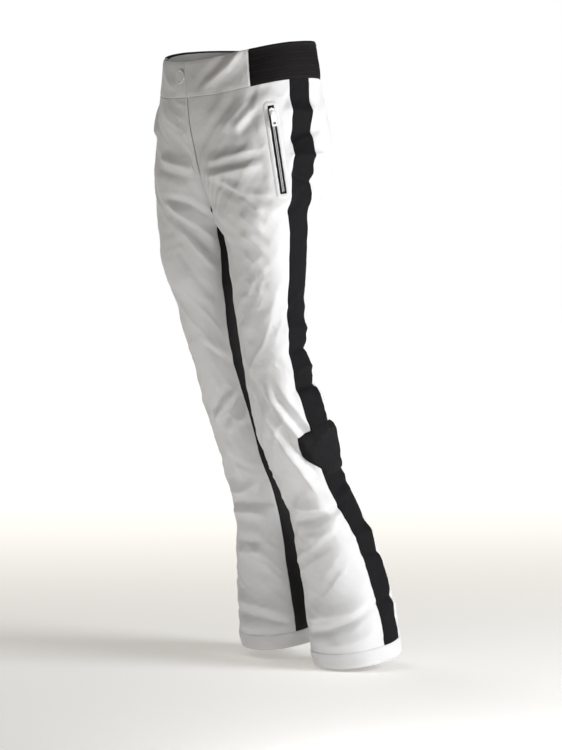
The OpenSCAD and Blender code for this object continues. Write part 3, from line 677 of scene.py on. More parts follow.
def metal(name, colour, worn, rough, grain=0.0):
    """Plated metal with faint wear; grain above 0 adds fine brushing."""
    material, tree, shader = start_material(name)
    place = add(tree, "ShaderNodeTexCoord").outputs["Object"]
    broad = add(tree, "ShaderNodeTexNoise", {"Vector": place, "Scale": 260.0, "Detail": 4.0}).outputs["Fac"]
    tone = add(tree, "ShaderNodeMix", {0: broad, 6: paint(colour), 7: paint(worn)}, data_type="RGBA").outputs[2]
    roughness = add(tree, "ShaderNodeMath", {0: broad, 1: 0.2, 2: rough - 0.1}, operation="MULTIPLY_ADD").outputs[0]
    squeezed = add(tree, "ShaderNodeMapping", {"Vector": place, "Scale": (900, 900, 12000)}).outputs[0]
    lines = add(tree, "ShaderNodeTexNoise", {"Vector": squeezed, "Scale": 1.0, "Detail": 2.0}).outputs["Fac"]
    bump = add(tree, "ShaderNodeBump", {"Height": lines, "Distance": 0.00002, "Strength": 0.2 + grain})
    tree.links.new(tone, shader.inputs["Base Color"])
    tree.links.new(roughness, shader.inputs["Roughness"])
    tree.links.new(bump.outputs[0], shader.inputs["Normal"])
    shader.inputs["Metallic"].default_value = 1.0
    return material


def enamel(name, colour, worn):
    """Glossy paint over metal, with a faint orange-peel surface."""
    material, tree, shader = start_material(name)
    place = add(tree, "ShaderNodeTexCoord").outputs["Object"]
    broad = add(tree, "ShaderNodeTexNoise", {"Vector": place, "Scale": 320.0, "Detail": 3.0}).outputs["Fac"]
    tone = add(tree, "ShaderNodeMix", {0: broad, 6: paint(colour), 7: paint(worn)}, data_type="RGBA").outputs[2]
    roughness = add(tree, "ShaderNodeMath", {0: broad, 1: 0.1, 2: 0.28}, operation="MULTIPLY_ADD").outputs[0]
    bump = add(tree, "ShaderNodeBump", {"Height": broad, "Distance": 0.00004, "Strength": 0.3})
    tree.links.new(tone, shader.inputs["Base Color"])
    tree.links.new(roughness, shader.inputs["Roughness"])
    tree.links.new(bump.outputs[0], shader.inputs["Normal"])
    shader.inputs["Coat Weight"].default_value = 0.4
    shader.inputs["Coat Roughness"].default_value = 0.12
    return material


def thread(name, colour, worn):
    """Sewing thread: a soft sheen and a fine twist."""
    material, tree, shader = start_material(name)
    place = add(tree, "ShaderNodeTexCoord").outputs["Object"]
    twist = add(tree, "ShaderNodeTexWave", {"Vector": place, "Scale": 700.0, "Distortion": 1.0},
                bands_direction="DIAGONAL").outputs["Fac"]
    tone = add(tree, "ShaderNodeMix", {0: twist, 6: paint(colour), 7: paint(worn)}, data_type="RGBA").outputs[2]
    roughness = add(tree, "ShaderNodeMath", {0: twist, 1: 0.1, 2: 0.45}, operation="MULTIPLY_ADD").outputs[0]
    bump = add(tree, "ShaderNodeBump", {"Height": twist, "Distance": 0.00005, "Strength": 0.5})
    tree.links.new(tone, shader.inputs["Base Color"])
    tree.links.new(roughness, shader.inputs["Roughness"])
    tree.links.new(bump.outputs[0], shader.inputs["Normal"])
    return material


def make_materials():
    """The weaves' real pitch is 0.25 to 0.5 mm; they are drawn about twice as coarse, or they wouldn't show."""
    shell, stripe = SETTINGS["shell_colour"], SETTINGS["stripe_colour"]
    MATERIALS.update(
        # Coated polyester twill, calendered: matt off-white with small crisp creases
        shell=fabric("coated_polyester_twill", shell, "#E0E0E1", 0.0009, 0.62, 0.00009, sheen=0.1, crinkle=0.0011),
        # Softer nylon ribbon cloth, woven and dyed black: flat black with crosswise threads
        outer_stripe=fabric("woven_nylon_stripe", stripe, "#1E1D1F", 0.0011, 0.8, 0.00012, weave="ACROSS",
                            gloss=0.08, crinkle=0.0012),
        # Polyester twill, dyed black: dull, and slightly paler where it rubs at the inside of the legs
        inner_stripe=fabric("black_polyester_twill", "#242223", "#2E2C2D", 0.0008, 0.78, 0.00009, gloss=0.16),
        # Polyamide reinforcement cloth: a coarse matt black with upright threads
        knee_shield=fabric("polyamide_reinforcement", "#1A1A1B", "#242426", 0.0016, 0.8, 0.00014, weave="UP",
                           gloss=0.08, crinkle=0.0008),
        # Knitted elastic, polyester over rubber: matt black, its ribs made in the mesh
        ribbed_elastic=fabric("knitted_elastic", "#171416", "#201D1F", 0.0009, 0.78, 0.0001, weave="ACROSS",
                              gloss=0.12),
        # Woven polyester taffeta lining: smooth, thin and slightly shiny
        lining=fabric("polyester_taffeta", "#DADADB", "#CBCBCD", 0.0006, 0.55, 0.00005, weave="PLAIN", sheen=0.15),
        dark_lining=fabric("dark_polyester_taffeta", "#2E2D30", "#39383B", 0.0006, 0.5, 0.00005, weave="PLAIN"),
        # Plain woven nylon, coated: dark, thin and a little shiny in its gathers
        gaiter=fabric("coated_nylon", "#2C2C30", "#3A3A3F", 0.0005, 0.42, 0.00005, weave="PLAIN"),
        # Woven polyester zip tape: a fine herringbone
        zip_tape=fabric("polyester_zip_tape", "#181618", "#232123", 0.0008, 0.7, 0.0001, gloss=0.12, laid="object"),
        white_tape=fabric("white_zip_tape", "#E4E4E4", "#D6D6D7", 0.0008, 0.6, 0.0001, laid="object"),
        # Die-cast zinc, nickel plated and tumbled: satin teeth and a brighter slider
        zip_teeth=metal("nickel_plated_teeth", "#DCD9DB", "#B9B5B7", 0.6),
        zip_metal=metal("tumbled_nickel", "#F4F4F5", "#DEDEE0", 0.52, 0.1),
        # Stamped brass, nickel plated: the hidden halves of the snap
        snap_metal=metal("nickel_plated_brass", "#B9B9BA", "#9A9A9C", 0.3, 0.3),
        # Stove enamel over brass: white, glossy, slightly rippled
        snap_cap=enamel("white_stove_enamel", "#E6E6E4", "#DCDCDA"),
        # Spun polyester sewing thread: a soft shine and a twist
        white_thread=thread("white_polyester_thread", "#E9E9EA", "#D2D2D3"),
        black_thread=thread("black_polyester_thread", "#232123", "#171617"),
    )


# Repeats ---------------------------------------------------------------------------------------------

def repeats_group(name, material):
    """Geometry Nodes: one small shape set along lines at a pitch, each lying along the line and off the cloth."""
    tree = bpy.data.node_groups.new(name, "GeometryNodeTree")
    face = tree.interface
    face.new_socket("Geometry", in_out="INPUT", socket_type="NodeSocketGeometry")
    for label in ("Pitch", "Length", "Width", "Height"):
        socket = face.new_socket(label, in_out="INPUT", socket_type="NodeSocketFloat")
        socket.subtype = "DISTANCE"
    face.new_socket("Box", in_out="INPUT", socket_type="NodeSocketBool")
    face.new_socket("Geometry", in_out="OUTPUT", socket_type="NodeSocketGeometry")
    given = add(tree, "NodeGroupInput").outputs
    lie = add(tree, "GeometryNodeInputNamedAttribute", {"Name": "lie"},
              data_type="FLOAT_VECTOR").outputs["Attribute"]
    line = add(tree, "GeometryNodeMeshToCurve", {"Mesh": given["Geometry"]}).outputs[0]
    spaced = add(tree, "GeometryNodeResampleCurve", {"Curve": line, "Length": given["Pitch"]}, mode="LENGTH")
    tangent = add(tree, "GeometryNodeInputTangent").outputs[0]
    facing = add(tree, "FunctionNodeAxesToRotation", {"Primary Axis": tangent, "Secondary Axis": lie},
                 primary_axis="X", secondary_axis="Z").outputs[0]
    points = add(tree, "GeometryNodeCurveToPoints", {"Curve": spaced.outputs[0]}, mode="EVALUATED")
    round_one = add(tree, "GeometryNodeMeshIcoSphere", {"Radius": 0.5, "Subdivisions": 1}).outputs["Mesh"]
    square_one = add(tree, "GeometryNodeMeshCube", {"Size": (1, 1, 1)}).outputs["Mesh"]
    shape = add(tree, "GeometryNodeSwitch", {"Switch": given["Box"], "False": round_one, "True": square_one},
                input_type="GEOMETRY").outputs[0]
    size = add(tree, "ShaderNodeCombineXYZ", {"X": given["Length"], "Y": given["Width"], "Z": given["Height"]})
    placed = add(tree, "GeometryNodeInstanceOnPoints",
                 {"Points": points.outputs["Points"], "Instance": shape, "Rotation": facing,
                  "Scale": size.outputs[0]}).outputs[0]
    real = add(tree, "GeometryNodeRealizeInstances", {"Geometry": placed}).outputs[0]
    toned = add(tree, "GeometryNodeSetMaterial", {"Geometry": real, "Material": material}).outputs[0]
    add(tree, "NodeGroupOutput", {"Geometry": toned})
    return tree


def repeats(name, runs, material, slot, pitch, length, width, height, box=False):
    """One mesh of small shapes along runs, each run being (points, directions off the cloth) in millimetres."""
    mesh = bpy.data.meshes.new(name)
    points = np.concatenate([p for p, _ in runs])
    lies = np.concatenate([n for _, n in runs])
    edges, base = [], 0
    for p, _ in runs:
        edges += [(base + k, base + k + 1) for k in range(len(p) - 1)]
        base += len(p)
    mesh.from_pydata((points / 1000).tolist(), edges, [])
    lie = mesh.attributes.new("lie", "FLOAT_VECTOR", "POINT")
    lie.data.foreach_set("vector", lies.astype(np.float32).ravel())
    piece = bpy.data.objects.new(name, mesh)
    bpy.context.scene.collection.objects.link(piece)
    tree = repeats_group(name + "_repeat", material)
    modifier = piece.modifiers.new("repeat", "NODES")
    modifier.node_group = tree
    wanted = {"Pitch": pitch / 1000, "Length": length / 1000, "Width": width / 1000, "Height": height / 1000,
              "Box": box}
    for item in tree.interface.items_tree:
        if item.item_type == "SOCKET" and item.in_out == "INPUT" and item.name in wanted:
            modifier[item.identifier] = wanted[item.name]
    piece.update_tag()
    bpy.context.view_layer.update()
    done = bpy.data.meshes.new_from_object(piece.evaluated_get(bpy.context.evaluated_depsgraph_get()))
    piece.modifiers.clear()
    piece.data = done
    bpy.data.node_groups.remove(tree)
    if len(done.polygons) == 0:
        raise RuntimeError(f"{name}: no repeats were made")
    done.polygons.foreach_set("use_smooth", np.full(len(done.polygons), not box))
    if not done.materials:
        done.materials.append(material)
    return piece


def row_line(side, s, a0, a1, lift):
    """Points along row s from angle a0 to a1, and the directions off the cloth."""
    a = np.linspace(a0, a1, max(8, int(abs(a1 - a0) / 1.5)))
    return surface(side, np.full(a.shape, float(s)), a, lift)


def seam_line(side, top, bottom, edge, offset, lift=0.3):
    """Points down the cloth beside a seam: edge gives its angle on a row, offset is in millimetres."""
    s = np.arange(top, bottom, -4.0)
    a = edge(side, s)
    z = level(s, a)
    metric = np.linalg.norm(spot(side, z, a + 0.5) - spot(side, z, a - 0.5), axis=-1)
    return surface(side, s, a + offset / np.maximum(metric, 0.4), lift)


# Pieces ----------------------------------------------------------------------------------------------

def make_legs():
    """The panels, stripes and gussets of both legs, and their knee shields."""
    shell = [MATERIALS["shell"], MATERIALS["lining"]]
    for side, name in NAMES.items():
        top, foot = -BAND_H - 0.2, HEM[side] + HEM_H + 0.3
        front = cloth(f"front_panel_{name}", panel(side, top, foot, front_in, front_out,
                                                   edges=(0.15 if side < 0 else 1, 1)),
                      SHELL_THICK, shell)
        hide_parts(*lengths_of("front", side))
        back = cloth(f"back_panel_{name}", panel(side, top, foot, back_out, back_in),
                     SHELL_THICK, shell)
        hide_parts(*lengths_of("back", side))
        stripe = cloth(f"outer_stripe_{name}", panel(side, top, foot, stripe_from, stripe_to, lift=0.35,
                                                     seam_depth=0.9),
                       SHELL_THICK, [MATERIALS["outer_stripe"], MATERIALS["lining"]])
        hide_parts(*lengths_of("stripe", side))
        black = [MATERIALS["inner_stripe"], MATERIALS["lining"]]
        for place, start, end in (("front", lambda sd, q: -meet(q, SEAM), lambda sd, q: inner_to(sd, q) - 360),
                                  ("back", inner_from, lambda sd, q: meet(q, SEAM))):
            gusset = cloth(f"gusset_{place}_{name}", panel(side, GUSSET_TOP - 1, CROTCH - 0.1, start, end,
                                                           edges=(0.6, 0.6)),
                           SHELL_THICK, black)
            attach(gusset, "trousers")
        inner = cloth(f"inner_stripe_{name}", panel(side, CROTCH - 0.3, foot, inner_from, inner_to),
                      SHELL_THICK, black)
        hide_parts(*lengths_of("inner_stripe", side))
        for piece in (front, back, stripe, inner):
            leg_blend(piece, side)
        make_shield(side, name)


def shield_half_width(v):
    """Broad over the knee, drawn in to the stripe's width at its foot."""
    return SHIELD_W * (0.95 - 0.47 * ease((v - 0.4) / 0.54) + 0.03 * np.sin(2 * np.pi * v))


def make_shield(side, name):
    """The knee shield: gathered at its outline, proud of the stripe and bellied in the middle."""
    rows, cols = ((90, 190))
    v = np.concatenate([[0, 0.006, 0.014], np.linspace(0.026, 0.974, rows), [0.986, 0.994, 1.0]])[:, None]
    u = np.concatenate([[-1, -0.995, -0.985], np.linspace(-0.97, 0.97, cols), [0.985, 0.995, 1]])[None]
    s = SHIELD_TOP - SHIELD_SLIP - (SHIELD_ARCH - SHIELD_SLIP) * u ** 2 * (1 - v) - (SHIELD_H - SHIELD_SLIP) * v
    half = shield_half_width(v)
    a = turn(side, s) + half_angle(s, 2 * SHIELD_BACK) + u * half_angle(s, 2 * half)
    rim = np.minimum(np.minimum(v, 1 - v) * SHIELD_H, (1 - np.abs(u)) * half)
    belly = 3.2 * ease(rim / 16)
    edge = 1.4 * np.exp(-(rim / 2.2) ** 2)
    gathers = np.sin(u * 34 + 2.2 * drift(v * 5 + u * 0, (4, u + 2 + 0 * v), 31))
    gathers = gathers * (0.5 + 0.5 * drift(v * 3 + u * 0, (7, u + 2 + 0 * v), 32))
    ripple = 0.32 * gathers * np.exp(-(rim / 26) ** 2) * ease(rim / 3)
    grid, _ = surface(side, s, a, 2.0 + belly - edge + ripple)
    grid = grid[:, ::-1] if side < 0 else grid
    piece = cloth(f"knee_shield_cover_{name}", grid, 1.2, [MATERIALS["knee_shield"]] * 2)
    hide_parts(f"knee_shield_{name}")
    leg_blend(piece, side)


def ring(side, top, bottom, lift, extra=None, step=None):
    """The outer face of a closed ring round a leg, starting at the inside."""
    step = step or SETTINGS["grid_step"]
    s = (top - steps(top - bottom, step))[:, None]
    count = int(480 / step)
    a = 180 + 360 * np.arange(count)[None] / count
    height = lift + (extra(s, a, (top - s) / (top - bottom)) if extra else 0)
    grid, _ = surface(side, s, a, height)
    return grid[:, ::-1] if side < 0 else grid


def make_hems():
    """The hem bands, and the gaiters with their elastic inside them."""
    for side, name in NAMES.items():
        top, foot = HEM[side] + HEM_H, HEM[side]

        def puffed(s, a, f):
            """The hem is full between its edges, with one row sewn in."""
            edge = np.minimum(f, 1 - f) * HEM_H
            sewn = 0.5 * np.exp(-((f * HEM_H - 5) / 1.1) ** 2)
            wave = 0.8 * drift(s / 30, (11, a / 360 + 2), 41) * f
            return 0.9 * ease(edge / 3.5) - sewn + wave
        band = cloth(f"hem_{name}", ring(side, top, foot, 0.2, puffed), 3.0,
                     [MATERIALS["shell"], MATERIALS["lining"]], closed=True)
        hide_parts(f"hem_band_{name}")
        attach(band, f"lower_leg_{name}")
        gather = lambda s, a, f: 0.9 * np.sin(np.radians(a * 44)) * ease((f - 0.35) / 0.5) + 0.5 * drift(
            s / 18, (19, a / 360 + 2), 42)
        gaiter = cloth(f"gaiter_cloth_{name}", ring(side, top + GAITER_H, top, -6.0, gather, 2.4), 0.8,
                       [MATERIALS["gaiter"]] * 2, closed=True)
        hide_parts(f"gaiter_{name}")
        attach(gaiter, f"lower_leg_{name}")
        ribs = lambda s, a, f: 0.35 * np.sin(np.radians(a * 88))
        elastic = cloth(f"gaiter_band_{name}", ring(side, top + 22, top + 2, -7.9, ribs, 1.6), 1.4,
                        [MATERIALS["ribbed_elastic"]] * 2, closed=True)
        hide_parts(f"gaiter_elastic_{name}")
        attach(elastic, f"lower_leg_{name}")


def band_relief(s, a, f):
    """A waistband is a folded strip: pinched along both edges, full between."""
    edge = np.minimum(-s, BAND_H + s)
    return 0.8 * ease(edge / 5) - 0.9 * np.exp(-(edge / 1.1) ** 2) - 0.35 * np.exp(-((edge - 3.6) / 0.8) ** 2)


def tab_start(side, s):
    """Free edge of the flap."""
    return -meet(level(s, -90), 0.6)


def tab_end(side, s):
    """Edge of the flap at its fold line."""
    z = level(s, -90)
    return -meet(z, fold_x(z) + FOLD_GAP - 0.4)


def flap_blend(piece):
    """Bakes the piece's placing into its mesh; it does not bend along the flap's slanted fold line, between the body
    and the flap.
    """
    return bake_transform(piece)


MM_PER_DEGREE = 2.35  # along the waistband, on average


def make_waistband():
    """The waistband's fronts, its ribbed elastic and the facing inside."""
    white = [MATERIALS["shell"], MATERIALS["lining"]]
    for side, name in NAMES.items():
        start = lambda sd, s: -meet(level(s, -90), front_start(sd, level(s, -90)))
        front = cloth(f"waistband_{name}", panel(side, 0, -BAND_H, start, lambda sd, s: ELASTIC_A - 0.1 + 0 * s,
                                                 extra=band_relief, edges=(0, 1)),
                      BAND_THICK, white)
        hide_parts(f"waistband_front_{name}")
        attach(front, "trousers")
        pitch = SETTINGS["rib_pitch"]

        def ribbed(s, a, f):
            """Slanting ribs, four stitched rows and a binding along the top."""
            depth = -s
            along_band = a * MM_PER_DEGREE
            slant = along_band + 0.16 * depth + 0.5 * drift(s / 20, (9, a / 360 + 2), 51)
            inside = ease((depth - 6.5) / 2.0) * ease((BAND_H - 3 - depth) / 2.0)
            ribs = 0.5 * np.cos(2 * np.pi * slant / pitch) * inside
            rows = -0.35 * np.exp(-(((depth - 12) % 11.5 - 5.7) / 0.7) ** 2) * inside
            binding = 0.5 * ease((6.2 - depth) / 1.0) - 0.7 * np.exp(-((depth - 6.8) / 0.7) ** 2)
            swell = 0.7 * drift(s / 40, (26, a / 360 + 2), 52)
            return 0.6 * ease(np.minimum(depth, BAND_H - depth) / 3) + ribs + rows + binding + swell
        step = 0.62
        grid = panel_fine(side, 0, -BAND_H, lambda sd, s: ELASTIC_A + 0.1 + 0 * s,
                          lambda sd, s: meet(level(s, 90), SEAM), ribbed, step)
        back = cloth(f"waistband_back_{name}", grid, 3.0,
                     [MATERIALS["ribbed_elastic"], MATERIALS["dark_lining"]])
        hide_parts(f"waistband_elastic_{name}")
        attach(back, "trousers")
    # Inside facing
    for side, name in NAMES.items():
        start = lambda sd, s: -meet(level(s, -90), 22 if sd > 0 else fold_x(level(s, -90)) + 10)
        facing = cloth(f"facing_{name}", panel(side, -3, 3 - BAND_H, start,
                                               lambda sd, s: meet(level(s, 90), SEAM), lift=-4.4,
                                               edges=(0, 0)), 0.9, [MATERIALS["lining"]] * 2)
        if side > 0:
            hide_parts("waistband_facing")
        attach(facing, "trousers")


def panel_fine(side, top, bottom, start, end, extra, step):
    """As panel, with columns close enough for ribs and rows left wider."""
    s = (top - steps(top - bottom, 2.6))[:, None]
    a0, a1 = start(side, s), end(side, s)
    length = row_lengths(side, s, a0, a1, 25).max()
    share = np.linspace(0, 1, int(length / step))[None]
    a = a0 + (a1 - a0) * share
    ends = -1.0 * np.exp(-(np.minimum(share, 1 - share) * length / 1.6) ** 2)
    grid, _ = surface(side, s, a, extra(s, a, share) + ends)
    return grid[:, ::-1] if side < 0 else grid


def front_patch(rows, x0, x1, depth, cols):
    """A patch that lies on the front of the body, depth below it, from x0 to x1 (minus is the right)."""
    x = np.linspace(0, 1, cols)[None] * (x1 - x0) + x0
    z = np.asarray(rows)[:, None] + 0 * x
    return np.stack([x + 0 * z, front_y(z, x, depth) + 0.3 * drift(z / 9, (9, x / 80 + 2), 61), z], -1)


def make_fly():
    """The flap with its tab and placket, what lies under it, and the snap."""
    white = [MATERIALS["shell"], MATERIALS["lining"]]

    def lapped(s, a, f):
        """The free edge is turned in and sewn."""
        edge = f * 30
        return 0.5 - 0.6 * np.exp(-(edge / 1.0) ** 2) - 0.3 * np.exp(-((edge - 6) / 0.8) ** 2)
    tab = cloth("waistband_tab_cover", panel(-1, 0, -BAND_H, tab_start, tab_end,
                                             extra=lambda s, a, f: band_relief(s, a, f) + lapped(s, a, f),
                                             edges=(0, 0)), BAND_THICK, white)
    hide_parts("waistband_tab")
    flap_blend(tab)
    placket = cloth("fly_placket_cover", panel(-1, -BAND_H - 0.2, -FLY_DROP - 0.3, tab_start, tab_end,
                                               extra=lapped, edges=(0, 0.15)), 2.2, white)
    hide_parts("fly_placket")
    flap_blend(placket)
    under = cloth("waistband_underlap_cover", front_patch(np.linspace(-3, 2 - BAND_H, 24), -34, 18, 7.7, 24),
                  2.6, white)
    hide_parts("waistband_underlap")
    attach(under, "trousers")
    lap = cloth("fly_underlap_cover", front_patch(np.linspace(-BAND_H - 2, -FLY_DROP - 2, 40), -34, 14, 17.0, 20),
                1.4, white)
    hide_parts("fly_underlap")
    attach(lap, "trousers")
    # The left front's turned-in edge, which lies close under the flap's free edge
    turned = cloth("fly_turned_edge", front_patch(np.linspace(-BAND_H - 1, -FLY_DROP - 1, 60), -4.6, 8, 2.7, 9),
                   0.8, white)
    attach(turned, "trousers")
    make_snap()


def lathe(name, profile, sides=64):
    """A turned shape about Z from (radius, height) pairs in millimetres, bottom to top, closed on the axis."""
    ring_count = len(profile)
    angles = 2 * np.pi * np.arange(sides) / sides
    points = [[r * math.cos(t), r * math.sin(t), h] for r, h in profile for t in angles]
    faces = []
    for i in range(ring_count - 1):
        for j in range(sides):
            k = (j + 1) % sides
            faces.append([i * sides + j, i * sides + k, (i + 1) * sides + k, (i + 1) * sides + j])
    points += [[0, 0, profile[0][1]], [0, 0, profile[-1][1]]]
    low, high = len(points) - 2, len(points) - 1
    for j in range(sides):
        k = (j + 1) % sides
        faces.append([low, k, j])
        faces.append([high, (ring_count - 1) * sides + j, (ring_count - 1) * sides + k])
    return mesh_of(name, points, faces)


def make_snap():
    """The snap's enamelled cap: a flat face inside a raised rim, on the tab."""
    cap = lathe("snap_cap_face", [(2.3, -3.4), (2.3, -0.1), (11.2, 0.0), (11.9, 0.3), (12.0, 0.9), (11.8, 1.5),
                                  (11.3, 1.9), (10.6, 2.0), (10.0, 1.85), (9.6, 1.6), (9.0, 1.55), (5.0, 1.75),
                                  (1.5, 1.85)])
    cap.data.materials.append(MATERIALS["snap_cap"])
    spot_on_tab, _ = surface(-1, SNAP_Z - float(level(0, -90)), -float(meet(SNAP_Z, SNAP_IN)))
    place = Matrix.Translation(Vector((-SNAP_IN / 1000, (spot_on_tab[1] - 1.5) / 1000, SNAP_Z / 1000)))
    cap.data.transform(place @ Matrix.Rotation(math.radians(90), 4, "X"))
    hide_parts("snap_cap")
    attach(cap, "fly_flap")


def zip_points(side, y, z, x):
    """Points from a pocket zip's own frame."""
    turned, origin = pocket_frame(side)
    return np.asarray(origin) + np.stack(np.broadcast_arrays(x, y, z), -1) @ turned.T


def zip_teeth(name, to_world, length, body, replaced):
    """Two rows of teeth, meshing."""
    z = np.linspace(-length / 2, length / 2, 60)
    runs = []
    for hand in (-1, 1):
        run = to_world(np.full(z.shape, hand * 1.15), z + hand * 0.5, 1.75)
        out = to_world(np.full(z.shape, hand * 1.15), z + hand * 0.5, 2.75) - run
        runs.append((run, out))
    teeth = repeats(name, runs, MATERIALS["zip_teeth"], "zip_teeth", 2.0, 1.15, 3.0, 1.5, box=True)
    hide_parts(replaced)
    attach(teeth, body)


# Section of a pocket's welt: distance out from the tape's edge and rise off it
WELT_PROFILE = [(-1.6, 0.8275), (-1.9, 0.9925), (-1.5, 1.2125), (-0.6, 1.3225), (0.8, 1.295), (2.0, 1.13),
                (3.0, 0.855), (3.9, 0.525), (4.6, -0.025), (5.2, -0.63)]


def make_pockets():
    """Welts round the pocket zips, their teeth and the bags behind them."""
    for side, name in NAMES.items():
        half_w, half_l = TAPE_W / 2, ZIP_L / 2 + 6
        # Centre line of the welt, a rounded rectangle round the tape
        radius, line = 3.0, []
        for cy, cz, start in ((1, 1, 0), (-1, 1, 90), (-1, -1, 180), (1, -1, 270)):
            for t in np.radians(np.linspace(start, start + 90, 7)):
                line.append((cy * (half_w - radius) + radius * math.cos(t),
                             cz * (half_l - radius) + radius * math.sin(t)))
        dense = []
        for p, q in zip(line, line[1:] + line[:1]):
            count = max(1, int(math.dist(p, q) / 3))
            dense += [(p[0] + (q[0] - p[0]) * k / count, p[1] + (q[1] - p[1]) * k / count) for k in range(count)]
        dense = np.array(dense)
        ahead = np.roll(dense, -1, 0) - np.roll(dense, 1, 0)
        ahead /= np.linalg.norm(ahead, axis=1, keepdims=True)
        outward = np.stack([ahead[:, 1], -ahead[:, 0]], -1)
        rings = []
        for off, rise in WELT_PROFILE:
            at = dense + outward * off
            wobble = 0.12 * np.sin(np.arange(len(at)) * 0.9)
            rings.append(zip_points(side, at[:, 0], at[:, 1], rise - 0.8 + wobble))
        grid = np.array(rings)
        if side > 0:
            grid = grid[:, ::-1]
        welt = cloth(f"pocket_welt_{name}", grid, 0.5, [MATERIALS["shell"]] * 2, closed=True)
        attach(welt, "trousers")
        to_world = lambda y, z, x, sd=side: zip_points(sd, y, z, x - 0.8)
        zip_teeth(f"pocket_chain_{name}", to_world, ZIP_L - 2, "trousers", f"pocket_teeth_{name}")
        dress(f"pocket_tape_{name}", "zip_tape")
        for part in ("slider", "puller"):
            dress(f"pocket_{part}_{name}", "zip_metal")
        bag = cloth(f"pocket_pouch_{name}", panel(side, -92, -238, lambda sd, s: -70 - 14 * (s + 92) / -146,
                                                  lambda sd, s: -14 + 0 * s, lift=-6.5, edges=(0, 0), step=7,
                                                  calm=0.4), 1.6, [MATERIALS["lining"]] * 2)
        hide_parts(f"pocket_bag_{name}")
        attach(bag, "trousers")
    for node, look in (("fly_tape", "white_tape"), ("fly_teeth", "zip_teeth"), ("fly_slider", "zip_metal"),
                       ("snap_socket", "snap_metal"), ("snap_stud", "snap_metal")):
        dress(node, look)


def dress(node, look):
    """Gives a CAD node that stays its better material, in its object's own slots."""
    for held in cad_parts[node].material_slots:
        held.link = "OBJECT"
        held.material = MATERIALS[look]


def make_stitching():
    """Rows of topstitching beside the seams, as small thread stitches."""
    size = dict(pitch=SETTINGS["stitch_pitch"], length=SETTINGS["stitch_length"], width=0.55, height=0.45)
    white, black = MATERIALS["white_thread"], MATERIALS["black_thread"]
    for side, name in NAMES.items():
        foot = HEM[side] + HEM_H + 2
        leg = [seam_line(side, -BAND_H - 4, foot, front_out, -4.0),
               seam_line(side, -BAND_H - 4, foot, back_out, 4.0)]
        piece = repeats(f"leg_stitches_{name}", leg, white, "shell", **size)
        leg_blend(piece, side)
        dark = [seam_line(side, -BAND_H - 4, foot, stripe_from, 2.4, 0.6),
                seam_line(side, -BAND_H - 4, foot, stripe_to, -2.4, 0.6)]
        piece = repeats(f"stripe_stitches_{name}", dark, black, "outer_stripe", **size)
        leg_blend(piece, side)
        round_leg = [row_line(side, HEM[side] + HEM_H - 5, 180, 540, 0.9),
                     row_line(side, HEM[side] + 4, 180, 540, 0.9)]
        piece = repeats(f"hem_stitches_{name}", round_leg, white, "shell", **size)
        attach(piece, f"lower_leg_{name}")
        start = float(-meet(level(np.array(-30.0), -90), fold_x(-30) + FOLD_GAP if side < 0 else 3))
        band = [row_line(side, row, start, ELASTIC_A - 1.5, 0.5) for row in (-3.6, 3.6 - BAND_H)]
        if side > 0:
            band.append(seam_line(1, -4, -BAND_H + 4, lambda sd, s: ELASTIC_A - 0.1 + 0 * s, -3.0, 0.7))
        piece = repeats(f"band_stitches_{name}", band, white, "shell", **size)
        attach(piece, "trousers")
        elastic = [row_line(side, -4.2, ELASTIC_A + 1, 86, 1.2)]
        elastic += [row_line(side, -d, ELASTIC_A + 1, 86, 0.9) for d in ELASTIC_ROWS]
        piece = repeats(f"elastic_stitches_{name}", elastic, black, "ribbed_elastic", **size)
        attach(piece, "trousers")
    # The flap's own stitching, beside its free edge
    edge = lambda sd, s: -meet(level(s, -90), 7.5)
    lines = [seam_line(-1, -BAND_H - 4, 40 - FLY_DROP, edge, 0, 0.8)]
    piece = repeats("placket_stitches", lines, white, "shell", **size)
    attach(piece, "fly_flap")
    box = [seam_line(-1, -4, 4 - BAND_H, edge, 0, 1.6)]
    piece = repeats("tab_stitches", box, white, "shell", **size)
    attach(piece, "fly_flap")


# Stage -----------------------------------------------------------------------------------------------

ROOM_BACK = (-0.779, 0.627, 0.0)  # the way to the back of the room
FLOOR_RADIUS, FLOOR_DROP = 30.0, 0.004  # metres; the floor lies this far under the hems


def area_light(name, place, aim, size, energy, colour):
    """A round soft light that the camera doesn't see."""
    light = bpy.data.lights.new(name, "AREA")
    light.shape, light.size, light.energy, light.color = "DISK", size, energy, colour
    lamp = bpy.data.objects.new(name, light)
    lamp.location = place
    lamp.visible_camera = False
    lamp.rotation_euler = (Vector(aim) - Vector(place)).to_track_quat("-Z", "Y").to_euler()
    bpy.context.scene.collection.objects.link(lamp)


